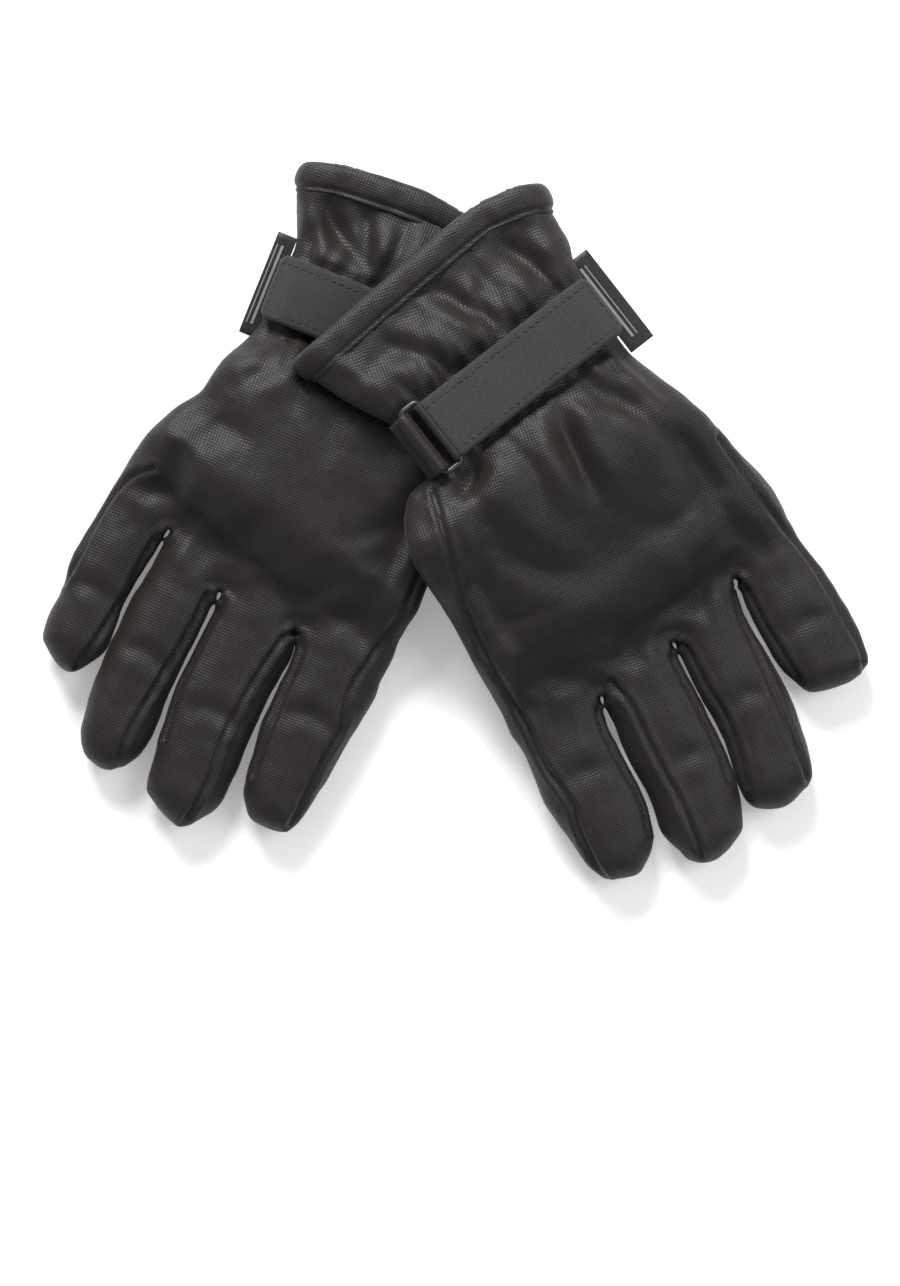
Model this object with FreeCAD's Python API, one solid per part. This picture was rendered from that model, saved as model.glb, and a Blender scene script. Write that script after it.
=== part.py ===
"""A pair of insulated ski gloves, laid flat with the backs of the hands up and the cuffs crossed.

The right glove lies on the surface and the left glove lies across its cuff. Both come from one pattern:
an outer shell cut as a back and a palm panel, a layer of fill, a lining, an elastic at the wrist, a
folded hem round the cuff, five stalls for the fingers, and a wrist strap that passes through a
rectangular ring and doubles back on itself, where a hook patch holds on a loop patch.

Units are millimetres. +Z is up, and the origin is the centre of the pair's footprint on the surface.
Each glove is drawn in a frame of its own, the glove frame: the origin is under the middle of the wrist,
+Y runs to the fingertips, +X to the little finger, and the surface is at z = 0. That is a right hand;
the left glove is its mirror image. The thumbs are tucked under the palms.
"""

import FreeCAD
import Part
import math
import os

from FreeCAD import Rotation, Vector

# Driving dimensions ---------------------------------------------------------------------------------

SHELL = 1.0  # outer fabric with its membrane
FILL = 3.0  # insulation
LINING = 0.8  # inner fabric
LAYER_GAP = 0.1  # between two layers
BODY_GAP = 0.4  # between pieces that move against each other

CUFF_WIDTH = 106.0
WRIST_WIDTH = 92.0
PALM_WIDTH = 126.0
HAND_THICK = 20.0
CUFF_THICK = 18.0
HEM_WIDTH = 12.0

# Width and thickness of each finger stall. Its reach from the knuckle is part of how a glove lies.
FINGERS = {
    "index": {"width": 34.0, "thick": 20.0},
    "middle": {"width": 29.5, "thick": 20.0},
    "ring": {"width": 27.0, "thick": 19.0},
    "little": {"width": 26.0, "thick": 18.0},
}
THUMB = {"width": 27.0, "thick": 11.0, "reach": 40.0}
TIP_ROUND = 0.40  # radius of a stall's tip corners, as a share of its width
EDGE_ROUND = 0.36  # radius of a stall's long edges, as a share of its thickness
STALL_FILL = 3.4  # fill and lining of a finger stall, made as one liner
THUMB_FILL = 2.0  # the same in the flattened thumb
STALL_SEAM = 0.55  # height of a stall's side seams, as a share of its thickness
CURL = 60.0  # how far a finger stall bends towards the palm, in degrees
THUMB_HOLE_R = 9.0  # where the thumb opens into the palm

STRAP_WIDTH = 25.4
STRAP_THICK = 1.1
HOOK_THICK = 1.4
LOOP_THICK = 1.3
STRAP_END = 45.0  # where the strap's free end lies, from the middle of the wrist
PULL_TAB = 22.0  # length of the end that lifts first
HOOK_LENGTH = 19.0
LOOP_LENGTH = 46.0

RING_BAR = 2.0  # width of the ring's bars
RING_THICK = 1.6
RING_SLOT = 6.4  # opening between the two bars
RING_PLAY = 0.8  # the slot's length beyond the strap's width
RING_CORNER = 3.0
RING_AT = -36.0  # middle of the ring, from the middle of the wrist
KEEPER_WIDTH = 24.0

ELASTIC_WIDTH = 20.0
ELASTIC_THICK = 1.2

LABEL_LENGTH = 41.0
LABEL_THICK = 0.5

# How each glove lies. "at" and "turn" place the glove frame in the pair's frame. "stations" run from
# the hem to the knuckles: place along the hand, sideways shift, turn of the section, share of the
# width between wrist and palm (0 is the wrist's, 1 the palm's, and "cuff" the cuff's), height of
# the underside, and roll in degrees (positive lifts the little-finger side). A thumb has the height
# of its underside at the base and its pitch down to the tip, and label_out is how far the label
# stands out of the side seam.
RIGHT = {
    "at": (-23.7, 73.2),
    "turn": 158.0,
    "mirror": False,
    "strap_turn": 0.0,
    "stations": [
        (-52.0, 5.0, 7.0, "cuff", 0.0, 0.0),
        (-16.0, 1.5, 0.0, 0.0, 1.0, 0.0),
        (16.0, 0.5, 0.0, 0.0, 1.0, 0.0),
        (36.0, 2.6, -3.0, 0.38, 11.8, 0.0),
        (78.0, 10.5, -13.0, 0.88, 11.8, 0.0),
        (104.0, 15.5, -13.0, 1.0, 0.3, 0.0),
        (116.0, 16.5, -13.0, 1.0, 0.3, 0.0),
    ],
    "fingers": {
        "index": {"base": (-29.0, 116.0), "turn": 0.8, "reach": 78.0},
        "middle": {"base": (6.5, 117.0), "turn": -1.0, "reach": 88.0},
        "ring": {"base": (36.2, 109.0), "turn": 1.4, "reach": 87.0},
        "little": {"base": (64.6, 100.0), "turn": 3.4, "reach": 66.0},
    },
    "thumb": {"base": (-22.0, 49.0), "height": 0.0, "turn": 45.0, "pitch": 0.0},
    "label_out": 6.0,
}
LEFT = {
    "at": (21.3, 53.2),
    "turn": 200.0,
    "mirror": True,
    "strap_turn": -18.0,
    "stations": [
        (-47.0, -16.5, -18.0, "cuff", 27.5, -2.0),
        (-15.2, -5.0, -18.0, 0.0, 29.6, -4.0),
        (15.2, 5.0, -18.0, 0.0, 29.6, -4.0),
        (38.0, 8.5, -9.0, 0.65, 30.2, -6.0),
        (80.0, 17.0, -13.0, 0.97, 12.0, -2.5),
        (107.0, 22.5, -13.0, 1.0, 0.3, 0.0),
        (117.0, 23.5, -13.0, 1.0, 0.3, 0.0),
    ],
    "fingers": {
        "index": {"base": (-25.0, 121.0), "turn": 2.4, "reach": 71.0},
        "middle": {"base": (11.0, 119.0), "turn": 0.7, "reach": 78.0},
        "ring": {"base": (42.0, 108.0), "turn": 2.1, "reach": 79.0},
        "little": {"base": (73.0, 97.0), "turn": 8.0, "reach": 57.0},
    },
    "thumb": {"base": (-20.0, 50.0), "height": 14.6, "turn": 45.0, "pitch": 19.5},
    "label_out": 9.0,
}

# Sections of the hand -------------------------------------------------------------------------------

LAYERS = SHELL + LAYER_GAP + FILL + LAYER_GAP + LINING
TALL = 200.0  # longer than anything that a cutting block has to pass through
OUTER_ROOM = 40.0  # how far the index and little stalls' cuts run past the sides of the hand
CUT_OVERLAP = 2.5  # how far two stalls' cuts overlap


def station_width(share):
    """Full width of the hand at a station."""
    if share == "cuff":
        return CUFF_WIDTH
    return WRIST_WIDTH + (PALM_WIDTH - WRIST_WIDTH) * share


def station_thick(share):
    """Full thickness of the hand at a station."""
    return CUFF_THICK if share in ("cuff", 0.0) else HAND_THICK


def section_frame(station):
    """Where a section's middle is, and how it is turned."""
    along, shift, turn, share, bottom, roll = station
    middle = Vector(shift, along, bottom + station_thick(share) / 2)
    return FreeCAD.Placement(middle, Rotation(turn, 0, 0).multiply(Rotation(Vector(0, 1, 0), -roll)))


def stadium(half_width, half_thick):
    """A closed wire in the XZ plane: two straight sides and two round ends."""
    flat = half_width - half_thick
    top_left, top_right = Vector(-flat, 0, half_thick), Vector(flat, 0, half_thick)
    low_left, low_right = Vector(-flat, 0, -half_thick), Vector(flat, 0, -half_thick)
    edges = [
        Part.LineSegment(top_left, top_right).toShape(),
        Part.Arc(top_right, Vector(half_width, 0, 0), low_right).toShape(),
        Part.LineSegment(low_right, low_left).toShape(),
        Part.Arc(low_left, Vector(-half_width, 0, 0), top_left).toShape(),
    ]
    return Part.Wire(edges)


def section(station, inset):
    """The hand's outline at a station, moved inwards by inset."""
    share = station[3]
    wire = stadium(station_width(share) / 2 - inset, station_thick(share) / 2 - inset)
    wire.Placement = section_frame(station)
    return wire


def blend_station(first, second, share):
    """A station part of the way from one to the next, for a cut between them."""
    return [a + (b - a) * share for a, b in zip(first, second)]


def through(wires):
    """A solid with straight walls through a row of sections."""
    return Part.makeLoft(wires, True, True)


def past_end(wire, next_wire, distance):
    """The first section, moved away from the next one, so that a cut runs clear of the end."""
    away = (wire.CenterOfMass - next_wire.CenterOfMass).normalize() * distance
    moved = wire.copy()
    moved.translate(away)
    return moved


def hand_solid(lay, inset, open_ends=0.0):
    """The hand from hem to knuckles, as one solid moved inwards by inset."""
    wires = [section(s, inset) for s in lay["stations"]]
    if open_ends:
        wires.insert(0, past_end(wires[0], wires[1], open_ends))
        wires.append(past_end(wires[-1], wires[-2], open_ends))
    return through(wires)


def hand_layer(lay, outer, inner):
    """The space between two insets of the hand, open at both ends."""
    return hand_solid(lay, outer).cut(hand_solid(lay, inner, open_ends=5.0))


def above_seam(lay):
    """Everything above the side seams, which run at half thickness."""
    wires = []
    for station in [lay["stations"][0], *lay["stations"], lay["stations"][-1]]:
        half = station_width(station[3]) / 2 + 20
        corners = [Vector(-half, 0, 0), Vector(half, 0, 0), Vector(half, 0, 60), Vector(-half, 0, 60)]
        wire = Part.makePolygon([*corners, corners[0]])
        wire.Placement = section_frame(station)
        wires.append(wire)
    wires[0] = past_end(wires[1], wires[2], 5.0)
    wires[-1] = past_end(wires[-2], wires[-3], 5.0)
    return through(wires)


# Frames of the stalls and of the strap --------------------------------------------------------------


def stall_frame(spec):
    """Puts a finger stall's own frame (+Y to its tip) in the glove frame."""
    return FreeCAD.Placement(Vector(*spec["base"], 0), Rotation(-spec["turn"], 0, 0))


def thumb_frame(lay):
    """Puts the thumb's own frame in the glove frame."""
    spec = lay["thumb"]
    turned = Rotation(-spec["turn"], 0, 0).multiply(Rotation(Vector(1, 0, 0), -spec["pitch"]))
    return FreeCAD.Placement(Vector(*spec["base"], spec["height"]), turned)


def strap_frame(lay):
    """Puts the strap's own frame in the glove frame: +X along the strap to its free end, z = 0 on top
    of the wrist, and rolled as the wrist is."""
    first, second = lay["stations"][1], lay["stations"][2]
    roll, bottom = first[5], first[4]
    middle_shift = (first[1] + second[1]) / 2
    middle = Vector(middle_shift, 0, bottom + CUFF_THICK / 2)
    turned = Rotation(lay["strap_turn"], 0, 0).multiply(Rotation(Vector(0, 1, 0), -roll))
    return FreeCAD.Placement(middle, turned).multiply(
        FreeCAD.Placement(Vector(0, 0, CUFF_THICK / 2), Rotation())
    )


def placed(shape, placement):
    """A copy of a shape, moved by a placement."""
    copy = shape.copy()
    copy.Placement = placement.multiply(copy.Placement)
    return copy


# Finger stalls --------------------------------------------------------------------------------------


def is_upright(edge):
    """Whether an edge stands straight up."""
    ends = [v.Point for v in edge.Vertexes]
    return abs(ends[0].x - ends[-1].x) < 1e-6 and abs(ends[0].y - ends[-1].y) < 1e-6


def is_rim(edge, low, high):
    """Whether an edge lies in the top or the bottom face."""
    heights = [v.Point.z for v in edge.Vertexes]
    return all(abs(z - low) < 1e-6 for z in heights) or all(abs(z - high) < 1e-6 for z in heights)


def stall_block(width, thick, reach, inset, back=0.0):
    """A stall's solid, moved inwards by inset, starting back behind the knuckle line."""
    wide, high = width - 2 * inset, thick - 2 * inset
    end = reach - inset
    block = Part.makeBox(wide, end + back, high, Vector(-wide / 2, -back, inset))
    corner = max(width * TIP_ROUND - inset, 1.0)
    block = block.makeFillet(
        corner, [e for e in block.Edges if is_upright(e) and e.CenterOfMass.y > end - 0.1]
    )
    rims = [
        e for e in block.Edges if is_rim(e, inset, inset + high) and e.CenterOfMass.y > 0.1 - back
    ]
    return block.makeFillet(edge_radius(thick, inset), rims)


def edge_radius(thick, inset):
    """Radius of a stall's long edges at an inset."""
    return max(thick * EDGE_ROUND - inset, 0.6)


def knuckle(width, thick, inset):
    """The round end of a finger stall, which turns about a line across the hand."""
    radius, wide = thick / 2 - inset, width - 2 * inset
    barrel = Part.makeCylinder(radius, wide, Vector(-wide / 2, 0, thick / 2), Vector(1, 0, 0))
    return barrel.makeFillet(edge_radius(thick, inset), barrel_rims(barrel, radius))


def thumb_root(width, thick, inset):
    """The round end of the thumb stall, which turns about an upright line."""
    radius = width / 2 - inset
    disc = Part.makeCylinder(radius, thick - 2 * inset, Vector(0, 0, inset))
    return disc.makeFillet(edge_radius(thick, inset), barrel_rims(disc, radius))


def barrel_rims(barrel, radius):
    """The two round edges of a cylinder."""
    return [e for e in barrel.Edges if abs(e.Length - 2 * math.pi * radius) < 1e-3]


def split_at_seam(shell, thick):
    """A stall's back panel and palm panel."""
    low = Vector(-TALL / 2, -TALL / 2, thick * STALL_SEAM)
    upper = Part.makeBox(TALL, TALL, TALL, low)
    return {"back": shell.common(upper), "palm": shell.cut(upper)}


def finger_pieces(size, reach):
    """A finger stall's panels and liner, open where the stall meets the hand."""
    width, thick = size["width"], size["thick"]
    liner_at = SHELL + LAYER_GAP
    inside_at = liner_at + STALL_FILL

    def closed(inset):
        return stall_block(width, thick, reach, inset).fuse(knuckle(width, thick, inset))

    def hollow(inset):
        return stall_block(width, thick, reach, inset, back=thick)

    made = split_at_seam(closed(0.0).cut(hollow(SHELL)), thick)
    made["liner"] = closed(liner_at).cut(hollow(inside_at))
    return made


def thumb_pieces(lay):
    """The thumb's panels and liner, flattened under the palm and open through its top."""
    width, thick, reach = THUMB["width"], THUMB["thick"], THUMB["reach"]
    liner_at = SHELL + LAYER_GAP
    inside_at = liner_at + THUMB_FILL

    def closed(inset):
        return stall_block(width, thick, reach, inset).fuse(thumb_root(width, thick, inset))

    made = split_at_seam(closed(0.0).cut(closed(SHELL)), thick)
    made["liner"] = closed(liner_at).cut(closed(inside_at))
    mouth = Part.makeCylinder(THUMB_HOLE_R, thick, Vector(0, 0, thick / 2))
    return {key: placed(shape.cut(mouth), thumb_frame(lay)) for key, shape in made.items()}


def stall_cutter(name, lay):
    """What a finger stall and its bend take away from the front of the hand."""
    width, thick = FINGERS[name]["width"], FINGERS[name]["thick"]
    names = list(FINGERS)
    at = names.index(name)
    left = OUTER_ROOM if at == 0 else side_room(lay, names[at - 1], name)
    right = OUTER_ROOM if at == len(names) - 1 else side_room(lay, name, names[at + 1])
    wide, start = width + left + right, -width / 2 - left
    radius = thick / 2
    front = Part.makeBox(wide, TALL, TALL, Vector(start, -2 * BODY_GAP, -TALL / 2))
    relief = Part.makeCylinder(radius + BODY_GAP, wide, Vector(start, 0, radius), Vector(1, 0, 0))
    bend_room = radius * math.sin(math.radians(CURL)) + BODY_GAP
    under = Part.makeBox(wide, TALL, TALL, Vector(start, -bend_room, radius - TALL))
    return placed(front.fuse([relief, under]), stall_frame(lay["fingers"][name]))


def side_room(lay, first, second):
    """How far a stall's cut reaches sideways: past the middle of the gap to its neighbour."""
    spacing = lay["fingers"][second]["base"][0] - lay["fingers"][first]["base"][0]
    gap = spacing - (FINGERS[first]["width"] + FINGERS[second]["width"]) / 2
    return max(gap, 0.0) / 2 + CUT_OVERLAP


# The wrist strap, its ring and its keeper -----------------------------------------------------------

BASE_AT = 0.3  # strap's lower run, above the back panel
LOOP_AT = BASE_AT + STRAP_THICK + LAYER_GAP
HOOK_AT = LOOP_AT + LOOP_THICK + LAYER_GAP
TOP_AT = HOOK_AT + HOOK_THICK + LAYER_GAP
TOP_FACE = TOP_AT + STRAP_THICK
FOLD_R = (TOP_FACE - BASE_AT) / 2  # outside of the fold round the ring's bar
BAR_Z = BASE_AT + FOLD_R
BAR_OFFSET = (RING_SLOT + RING_BAR) / 2
RING_LENGTH = STRAP_WIDTH + RING_PLAY + 2 * RING_BAR


def corridor(lay, start, end, width):
    """A tall block over a stretch of the strap's run, in the glove frame."""
    block = Part.makeBox(end - start, width, TALL, Vector(start, -width / 2, -CUFF_THICK * 0.35))
    return placed(block, strap_frame(lay))


def band(lay, low, high, start, end, width):
    """A layer of cloth that follows the top of the wrist between two heights."""
    return hand_layer(lay, -high, -low).common(corridor(lay, start, end, width))


def ring_solid():
    """The rectangular ring, in the strap's frame."""
    wide = RING_SLOT + 2 * RING_BAR
    low = Vector(RING_AT - wide / 2, -RING_LENGTH / 2, BAR_Z - RING_THICK / 2)
    plate = Part.makeBox(wide, RING_LENGTH, RING_THICK, low)
    plate = plate.makeFillet(RING_CORNER, [e for e in plate.Edges if is_upright(e)])
    slot_length = STRAP_WIDTH + RING_PLAY
    slot = Part.makeBox(
        RING_SLOT, slot_length, RING_THICK, Vector(RING_AT - RING_SLOT / 2, -slot_length / 2, low.z)
    )
    slot = slot.makeFillet(0.8, [e for e in slot.Edges if is_upright(e)])
    ring = plate.cut(slot)
    rims = [e for e in ring.Edges if is_rim(e, low.z, low.z + RING_THICK)]
    return ring.makeFillet(0.5, rims)


def tube_round_bar(x, width):
    """Cloth wrapped round one of the ring's bars, in the strap's frame."""
    start, along = Vector(x, -width / 2, BAR_Z), Vector(0, 1, 0)
    outer = Part.makeCylinder(FOLD_R, width, start, along)
    return outer.cut(Part.makeCylinder(FOLD_R - STRAP_THICK, width, start, along))


def half_space(x, side):
    """A tall block on one side of a line across the strap, in the strap's frame."""
    low = x if side > 0 else x - TALL
    return Part.makeBox(TALL, TALL, TALL, Vector(low, -TALL / 2, -TALL / 2))


def strap_pieces(lay):
    """The strap, ring, keeper, patches and label, in the glove frame."""
    frame = strap_frame(lay)
    bar_right, bar_left = RING_AT + BAR_OFFSET, RING_AT - BAR_OFFSET
    made = {"ring": placed(ring_solid(), frame)}

    keeper = tube_round_bar(bar_left, KEEPER_WIDTH)
    tail = band(lay, BASE_AT, BASE_AT + STRAP_THICK, -WRIST_WIDTH, bar_left, KEEPER_WIDTH)
    made["keeper_tab"] = placed(keeper, frame).fuse(tail).removeSplitter()

    fold = tube_round_bar(bar_right, STRAP_WIDTH).common(half_space(bar_right, -1))
    run = band(lay, BASE_AT, BASE_AT + STRAP_THICK, bar_right, WRIST_WIDTH, STRAP_WIDTH)
    made["strap_base"] = placed(fold, frame).fuse(run).removeSplitter()
    loop_end = STRAP_END - 1.0
    made["loop_patch"] = band(
        lay, LOOP_AT, LOOP_AT + LOOP_THICK, loop_end - LOOP_LENGTH, loop_end, STRAP_WIDTH - 3
    )
    tab_start = STRAP_END - PULL_TAB
    made["strap"] = band(
        lay, TOP_AT, TOP_FACE, bar_right + LAYER_GAP, tab_start, STRAP_WIDTH
    )
    made["strap_end"] = band(lay, TOP_AT, TOP_FACE, tab_start + BODY_GAP, STRAP_END, STRAP_WIDTH)
    hook_start = STRAP_END - 1.0 - HOOK_LENGTH
    made["hook_patch"] = band(
        lay, HOOK_AT, HOOK_AT + HOOK_THICK, hook_start, STRAP_END - 1.0, STRAP_WIDTH - 3
    )
    edge = WRIST_WIDTH / 2
    label = Part.makeBox(
        lay["label_out"], LABEL_LENGTH, LABEL_THICK, Vector(edge, -LABEL_LENGTH / 2, -CUFF_THICK / 2)
    )
    made["label"] = placed(label, frame).cut(hand_solid(lay, -BASE_AT))
    return made


# The hand and the whole glove -----------------------------------------------------------------------


def hem_station(lay):
    """The section where the folded hem meets the rest of the cuff."""
    first, second = lay["stations"][0], lay["stations"][1]
    share = HEM_WIDTH / math.hypot(second[0] - first[0], second[1] - first[1])
    along, shift, turn, bottom, roll = blend_station(
        [first[i] for i in (0, 1, 2, 4, 5)], [second[i] for i in (0, 1, 2, 4, 5)], share
    )
    return along, shift, turn, first[3], bottom, roll


def hem_block(lay):
    """Everything on the hem's side of the hem seam."""
    frame = section_frame(hem_station(lay))
    block = Part.makeBox(TALL, TALL, TALL, Vector(-TALL / 2, -TALL, -TALL / 2))
    return placed(block, frame)


def hand_pieces(lay):
    """The hand's layers, in the glove frame."""
    cutters = [stall_cutter(name, lay) for name in FINGERS]
    hem_side = hem_block(lay)
    hole = thumb_hole(lay)
    shell = hand_layer(lay, 0.0, SHELL).cut([hem_side, *cutters])
    upper = above_seam(lay)
    fill_at = SHELL + LAYER_GAP
    lining_at = fill_at + FILL + LAYER_GAP
    elastic = hand_layer(lay, fill_at, fill_at + ELASTIC_THICK).common(elastic_block(lay, 0.0))
    seat = hand_layer(lay, fill_at - LAYER_GAP / 2, fill_at + ELASTIC_THICK + LAYER_GAP)
    seat = seat.common(elastic_block(lay, LAYER_GAP))
    fill = hand_layer(lay, fill_at, fill_at + FILL).cut([hem_side, seat, hole, *cutters])
    lining = hand_layer(lay, lining_at, LAYERS).cut([hem_side, hole, *cutters])
    return {
        "back_panel": shell.common(upper),
        "palm_panel": shell.cut([upper, hole]),
        "insulation": fill,
        "lining": lining,
        "hem_band": hand_layer(lay, 0.0, LAYERS).common(hem_side),
        "wrist_elastic": elastic,
    }


def elastic_block(lay, extra):
    """The stretch of the wrist that the elastic covers."""
    wide = ELASTIC_WIDTH + 2 * extra
    block = Part.makeBox(TALL, wide, TALL, Vector(-TALL / 2, -wide / 2, -TALL / 2))
    return placed(block, strap_frame(lay))


def thumb_hole(lay):
    """The hole through the underside of the palm, over the thumb's mouth."""
    x, y = lay["thumb"]["base"]
    return Part.makeCylinder(THUMB_HOLE_R, station_middle(lay, y), Vector(x, y, 0))


def station_middle(lay, along):
    """Height of the hand's middle at a place along it."""
    rows = lay["stations"]
    for first, second in zip(rows, rows[1:]):
        if first[0] <= along <= second[0]:
            share = (along - first[0]) / (second[0] - first[0])
            bottom = first[4] + (second[4] - first[4]) * share
            return bottom + HAND_THICK / 2
    return HAND_THICK / 2


def glove(lay):
    """Every piece of one glove by name, in the pair's frame."""
    made = dict(hand_pieces(lay))
    made.update(strap_pieces(lay))
    for name, size in FINGERS.items():
        spec = lay["fingers"][name]
        for part, shape in finger_pieces(size, spec["reach"]).items():
            made[f"{name}_{part}"] = placed(shape, stall_frame(spec))
    for part, shape in thumb_pieces(lay).items():
        made[f"thumb_{part}"] = shape
    place = FreeCAD.Placement(Vector(*lay["at"], 0), Rotation(lay["turn"], 0, 0))
    finished = {}
    for name, shape in made.items():
        if lay["mirror"]:
            shape = shape.mirror(Vector(0, 0, 0), Vector(1, 0, 0))
        shape = Part.makeCompound(shape.Solids)
        finished[name] = placed(shape, place)
    return finished


def main():
    os.makedirs("parts", exist_ok=True)
    for side, lay in (("right", RIGHT), ("left", LEFT)):
        for name, shape in glove(lay).items():
            shape.exportStep(os.path.join("parts", f"{side}_{name}.step"))


main()
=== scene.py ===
"""A pair of padded ski gloves lying on a table, the left one half across the right one's cuff.

Lengths are in millimetres in each glove's own plan (u towards the little finger, v towards the
fingertips, z up from the table) until a piece is placed in the pair's frame in metres."""

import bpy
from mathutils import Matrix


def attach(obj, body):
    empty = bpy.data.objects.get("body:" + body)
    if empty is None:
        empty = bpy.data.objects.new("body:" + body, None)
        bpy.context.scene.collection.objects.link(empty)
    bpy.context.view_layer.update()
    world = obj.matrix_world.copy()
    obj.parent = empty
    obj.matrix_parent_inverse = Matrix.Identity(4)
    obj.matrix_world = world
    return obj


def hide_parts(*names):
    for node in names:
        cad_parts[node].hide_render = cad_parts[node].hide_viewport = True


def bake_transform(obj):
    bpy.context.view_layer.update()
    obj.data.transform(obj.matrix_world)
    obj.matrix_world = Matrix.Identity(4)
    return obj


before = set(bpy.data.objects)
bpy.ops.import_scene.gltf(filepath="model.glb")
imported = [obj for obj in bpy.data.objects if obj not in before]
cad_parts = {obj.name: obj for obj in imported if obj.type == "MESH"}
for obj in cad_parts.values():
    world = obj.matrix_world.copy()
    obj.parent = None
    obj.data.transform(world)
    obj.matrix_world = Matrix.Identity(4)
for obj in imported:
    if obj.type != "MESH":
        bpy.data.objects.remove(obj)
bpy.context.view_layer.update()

import math

import bmesh
import bpy
import numpy as np
from mathutils import Vector

# How each glove lies ----------------------------------------------------------------------------
# "stations" run from hem to knuckles: place along the glove, sideways shift, turn of the section,
# height of the middle, half thickness, roll.

RIGHT = {
    "name": "right",
    "at": (-23.7, 73.2),
    "turn": 158.0,
    "mirror": False,
    "strap_turn": 0.0,
    "strap_middle": (1.0, 0.0, 19.0),
    "roll": 0.0,
    "stations": [
        (-52, 5, 7, 9, 9, 0),
        (-16, 1.5, 0, 10, 9, 0),
        (16, 0.5, 0, 10, 9, 0),
        (36, 2.6, -3, 20.5, 10, 0),
        (78, 10.5, -13, 19.5, 10, 0),
        (104, 15.5, -13, 10.3, 10, 0),
        (116, 16.5, -13, 10.1, 10, 0),
    ],
    "index_side": [(-48, -75), (-47, -52), (-47, -44), (-46, -25), (-44.5, -8), (-44.5, 8), (-47, 20),
                   (-51, 32), (-53, 45), (-53, 58), (-51, 72), (-50, 83)],
    "little_side": [(73, 84), (70, 73), (63, 57), (57, 47), (53, 34), (49, 22), (47, 5), (46, -10),
                    (46, -19), (50, -30), (53, -39), (53.5, -50), (54, -75)],
    "hem": [(-70, -42), (-47, -47), (-30, -51), (-11, -53), (6, -55), (34, -53.5), (43, -52), (53, -49.5),
            (70, -46)],
    "fingers": {
        "index": ((-29, 116), 0.8, [
            (-50, 94), (-48, 106), (-48.5, 114), (-47.5, 124), (-48, 130), (-47, 138), (-45, 150),
            (-42, 170), (-39.5, 182), (-37, 189), (-33, 192), (-22, 192), (-17, 187), (-14, 181),
            (-12.6, 167), (-11, 156), (-11.9, 143), (-13.2, 128), (-10.8, 118)]),
        "middle": ((6.5, 117), -1.0, [
            (-9.2, 118), (-11.8, 128), (-10.5, 143), (-9.6, 156), (-9.2, 168), (-9.2, 180), (-8, 192),
            (-2, 201), (3, 205), (9, 203.5), (18, 198.5), (21, 194), (23, 180), (23.9, 170), (24.4, 158),
            (23.4, 141), (21.4, 116)]),
        "ring": ((36.2, 109), 1.4, [
            (22.8, 116), (24.8, 141), (25.8, 158), (25.2, 172), (27.5, 186), (36, 194.5), (44, 194),
            (48.5, 191), (52, 185), (53, 177), (54, 166), (53.6, 154), (53.2, 143), (53, 132),
            (50.6, 117), (48.4, 101)]),
        "little": ((64.6, 100), 3.4, [
            (49.8, 101), (51.9, 117), (54.4, 132), (54.6, 143), (55.2, 153), (59, 160.5), (63, 165),
            (66, 166), (71, 164), (76, 160), (79, 157), (80, 148), (79, 138), (80, 125), (78, 112),
            (76, 99), (73.5, 87)]),
    },
    "thumb": ((-22, 49), 45.0, 0.0, 0.0),
    "label_out": 6.0,
    "shell_start": -60,
    "hem_span": (-62, -30),
    "seams": [
        [(50, 101), (53, 110), (55, 130), (59, 150), (62, 162)],
        [(62, 81), (69, 87), (74, 98), (76, 111), (77, 124), (79, 135)],
        [(26, 118), (28, 138), (31, 157), (34, 178), (34, 193)],
        [(-8, 120), (-6, 126), (-2, 147), (0, 169), (-1, 185), (2, 203)],
        [(-46, 81), (-45, 97), (-41, 115), (-38, 132), (-40, 146), (-38, 161), (-37, 178), (-36, 188)],
        [(19, 118), (21, 128), (22, 141), (22.5, 158), (21, 176)],
        [(-13, 119), (-16, 128), (-15, 143), (-15, 157), (-16, 176)],
    ],
    "crotches": [(-10, 118), (22, 116), (49, 101)],
    "folds": [
        ([(44, -38), (26, -25), (13, -16)], 2.6, 3.8),
        ([(8, -44), (8, -32), (8, -15)], 1.8, 3.2),
        ([(26, -42), (19, -28), (13, -15)], 2.8, 3.2),
        ([(66, 91), (56, 89), (46, 92)], 1.6, 4.0),
        ([(46, 36), (36, 33), (26, 27)], 1.0, 3.0),
        ([(30, 60), (40, 56), (50, 57)], 0.8, 4.0),
        ([(-8, 112), (6, 108), (21, 111)], 0.8, 4.5),
        ([(24, 110), (36, 102), (47, 98)], 0.8, 4.5),
        ([(-42, 108), (-28, 107), (-12, 113)], 0.8, 4.5),
        ([(-40, 150), (-28, 146), (-16, 149)], 0.9, 3.4),
        ([(-7, 163), (6, 158), (19, 162)], 0.9, 3.4),
        ([(28, 152), (40, 147), (51, 150)], 0.9, 3.2),
        ([(58, 136), (67, 132), (77, 134)], 0.9, 3.2),
        ([(3, 26), (6, 40), (0, 58)], 1.3, 4.0),
        ([(36, 24), (40, 36), (46, 46)], 1.0, 3.2),
        ([(20, 22), (22, 32), (20, 44)], 0.9, 3.0),
        ([(-30, -40), (-22, -28), (-20, -17)], 1.2, 3.2),
    ],
    "bulges": [((10, 70), 22, 1.2), ((60, 70), 12, 0.8), ((36, 128), 8, 0.8), ((6, 136), 9, 0.8),
               ((-28, 134), 9, 0.8), ((66, 118), 8, 0.8), ((33, 76), 15, 2.2)],
    "seed": 5,
}

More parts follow.
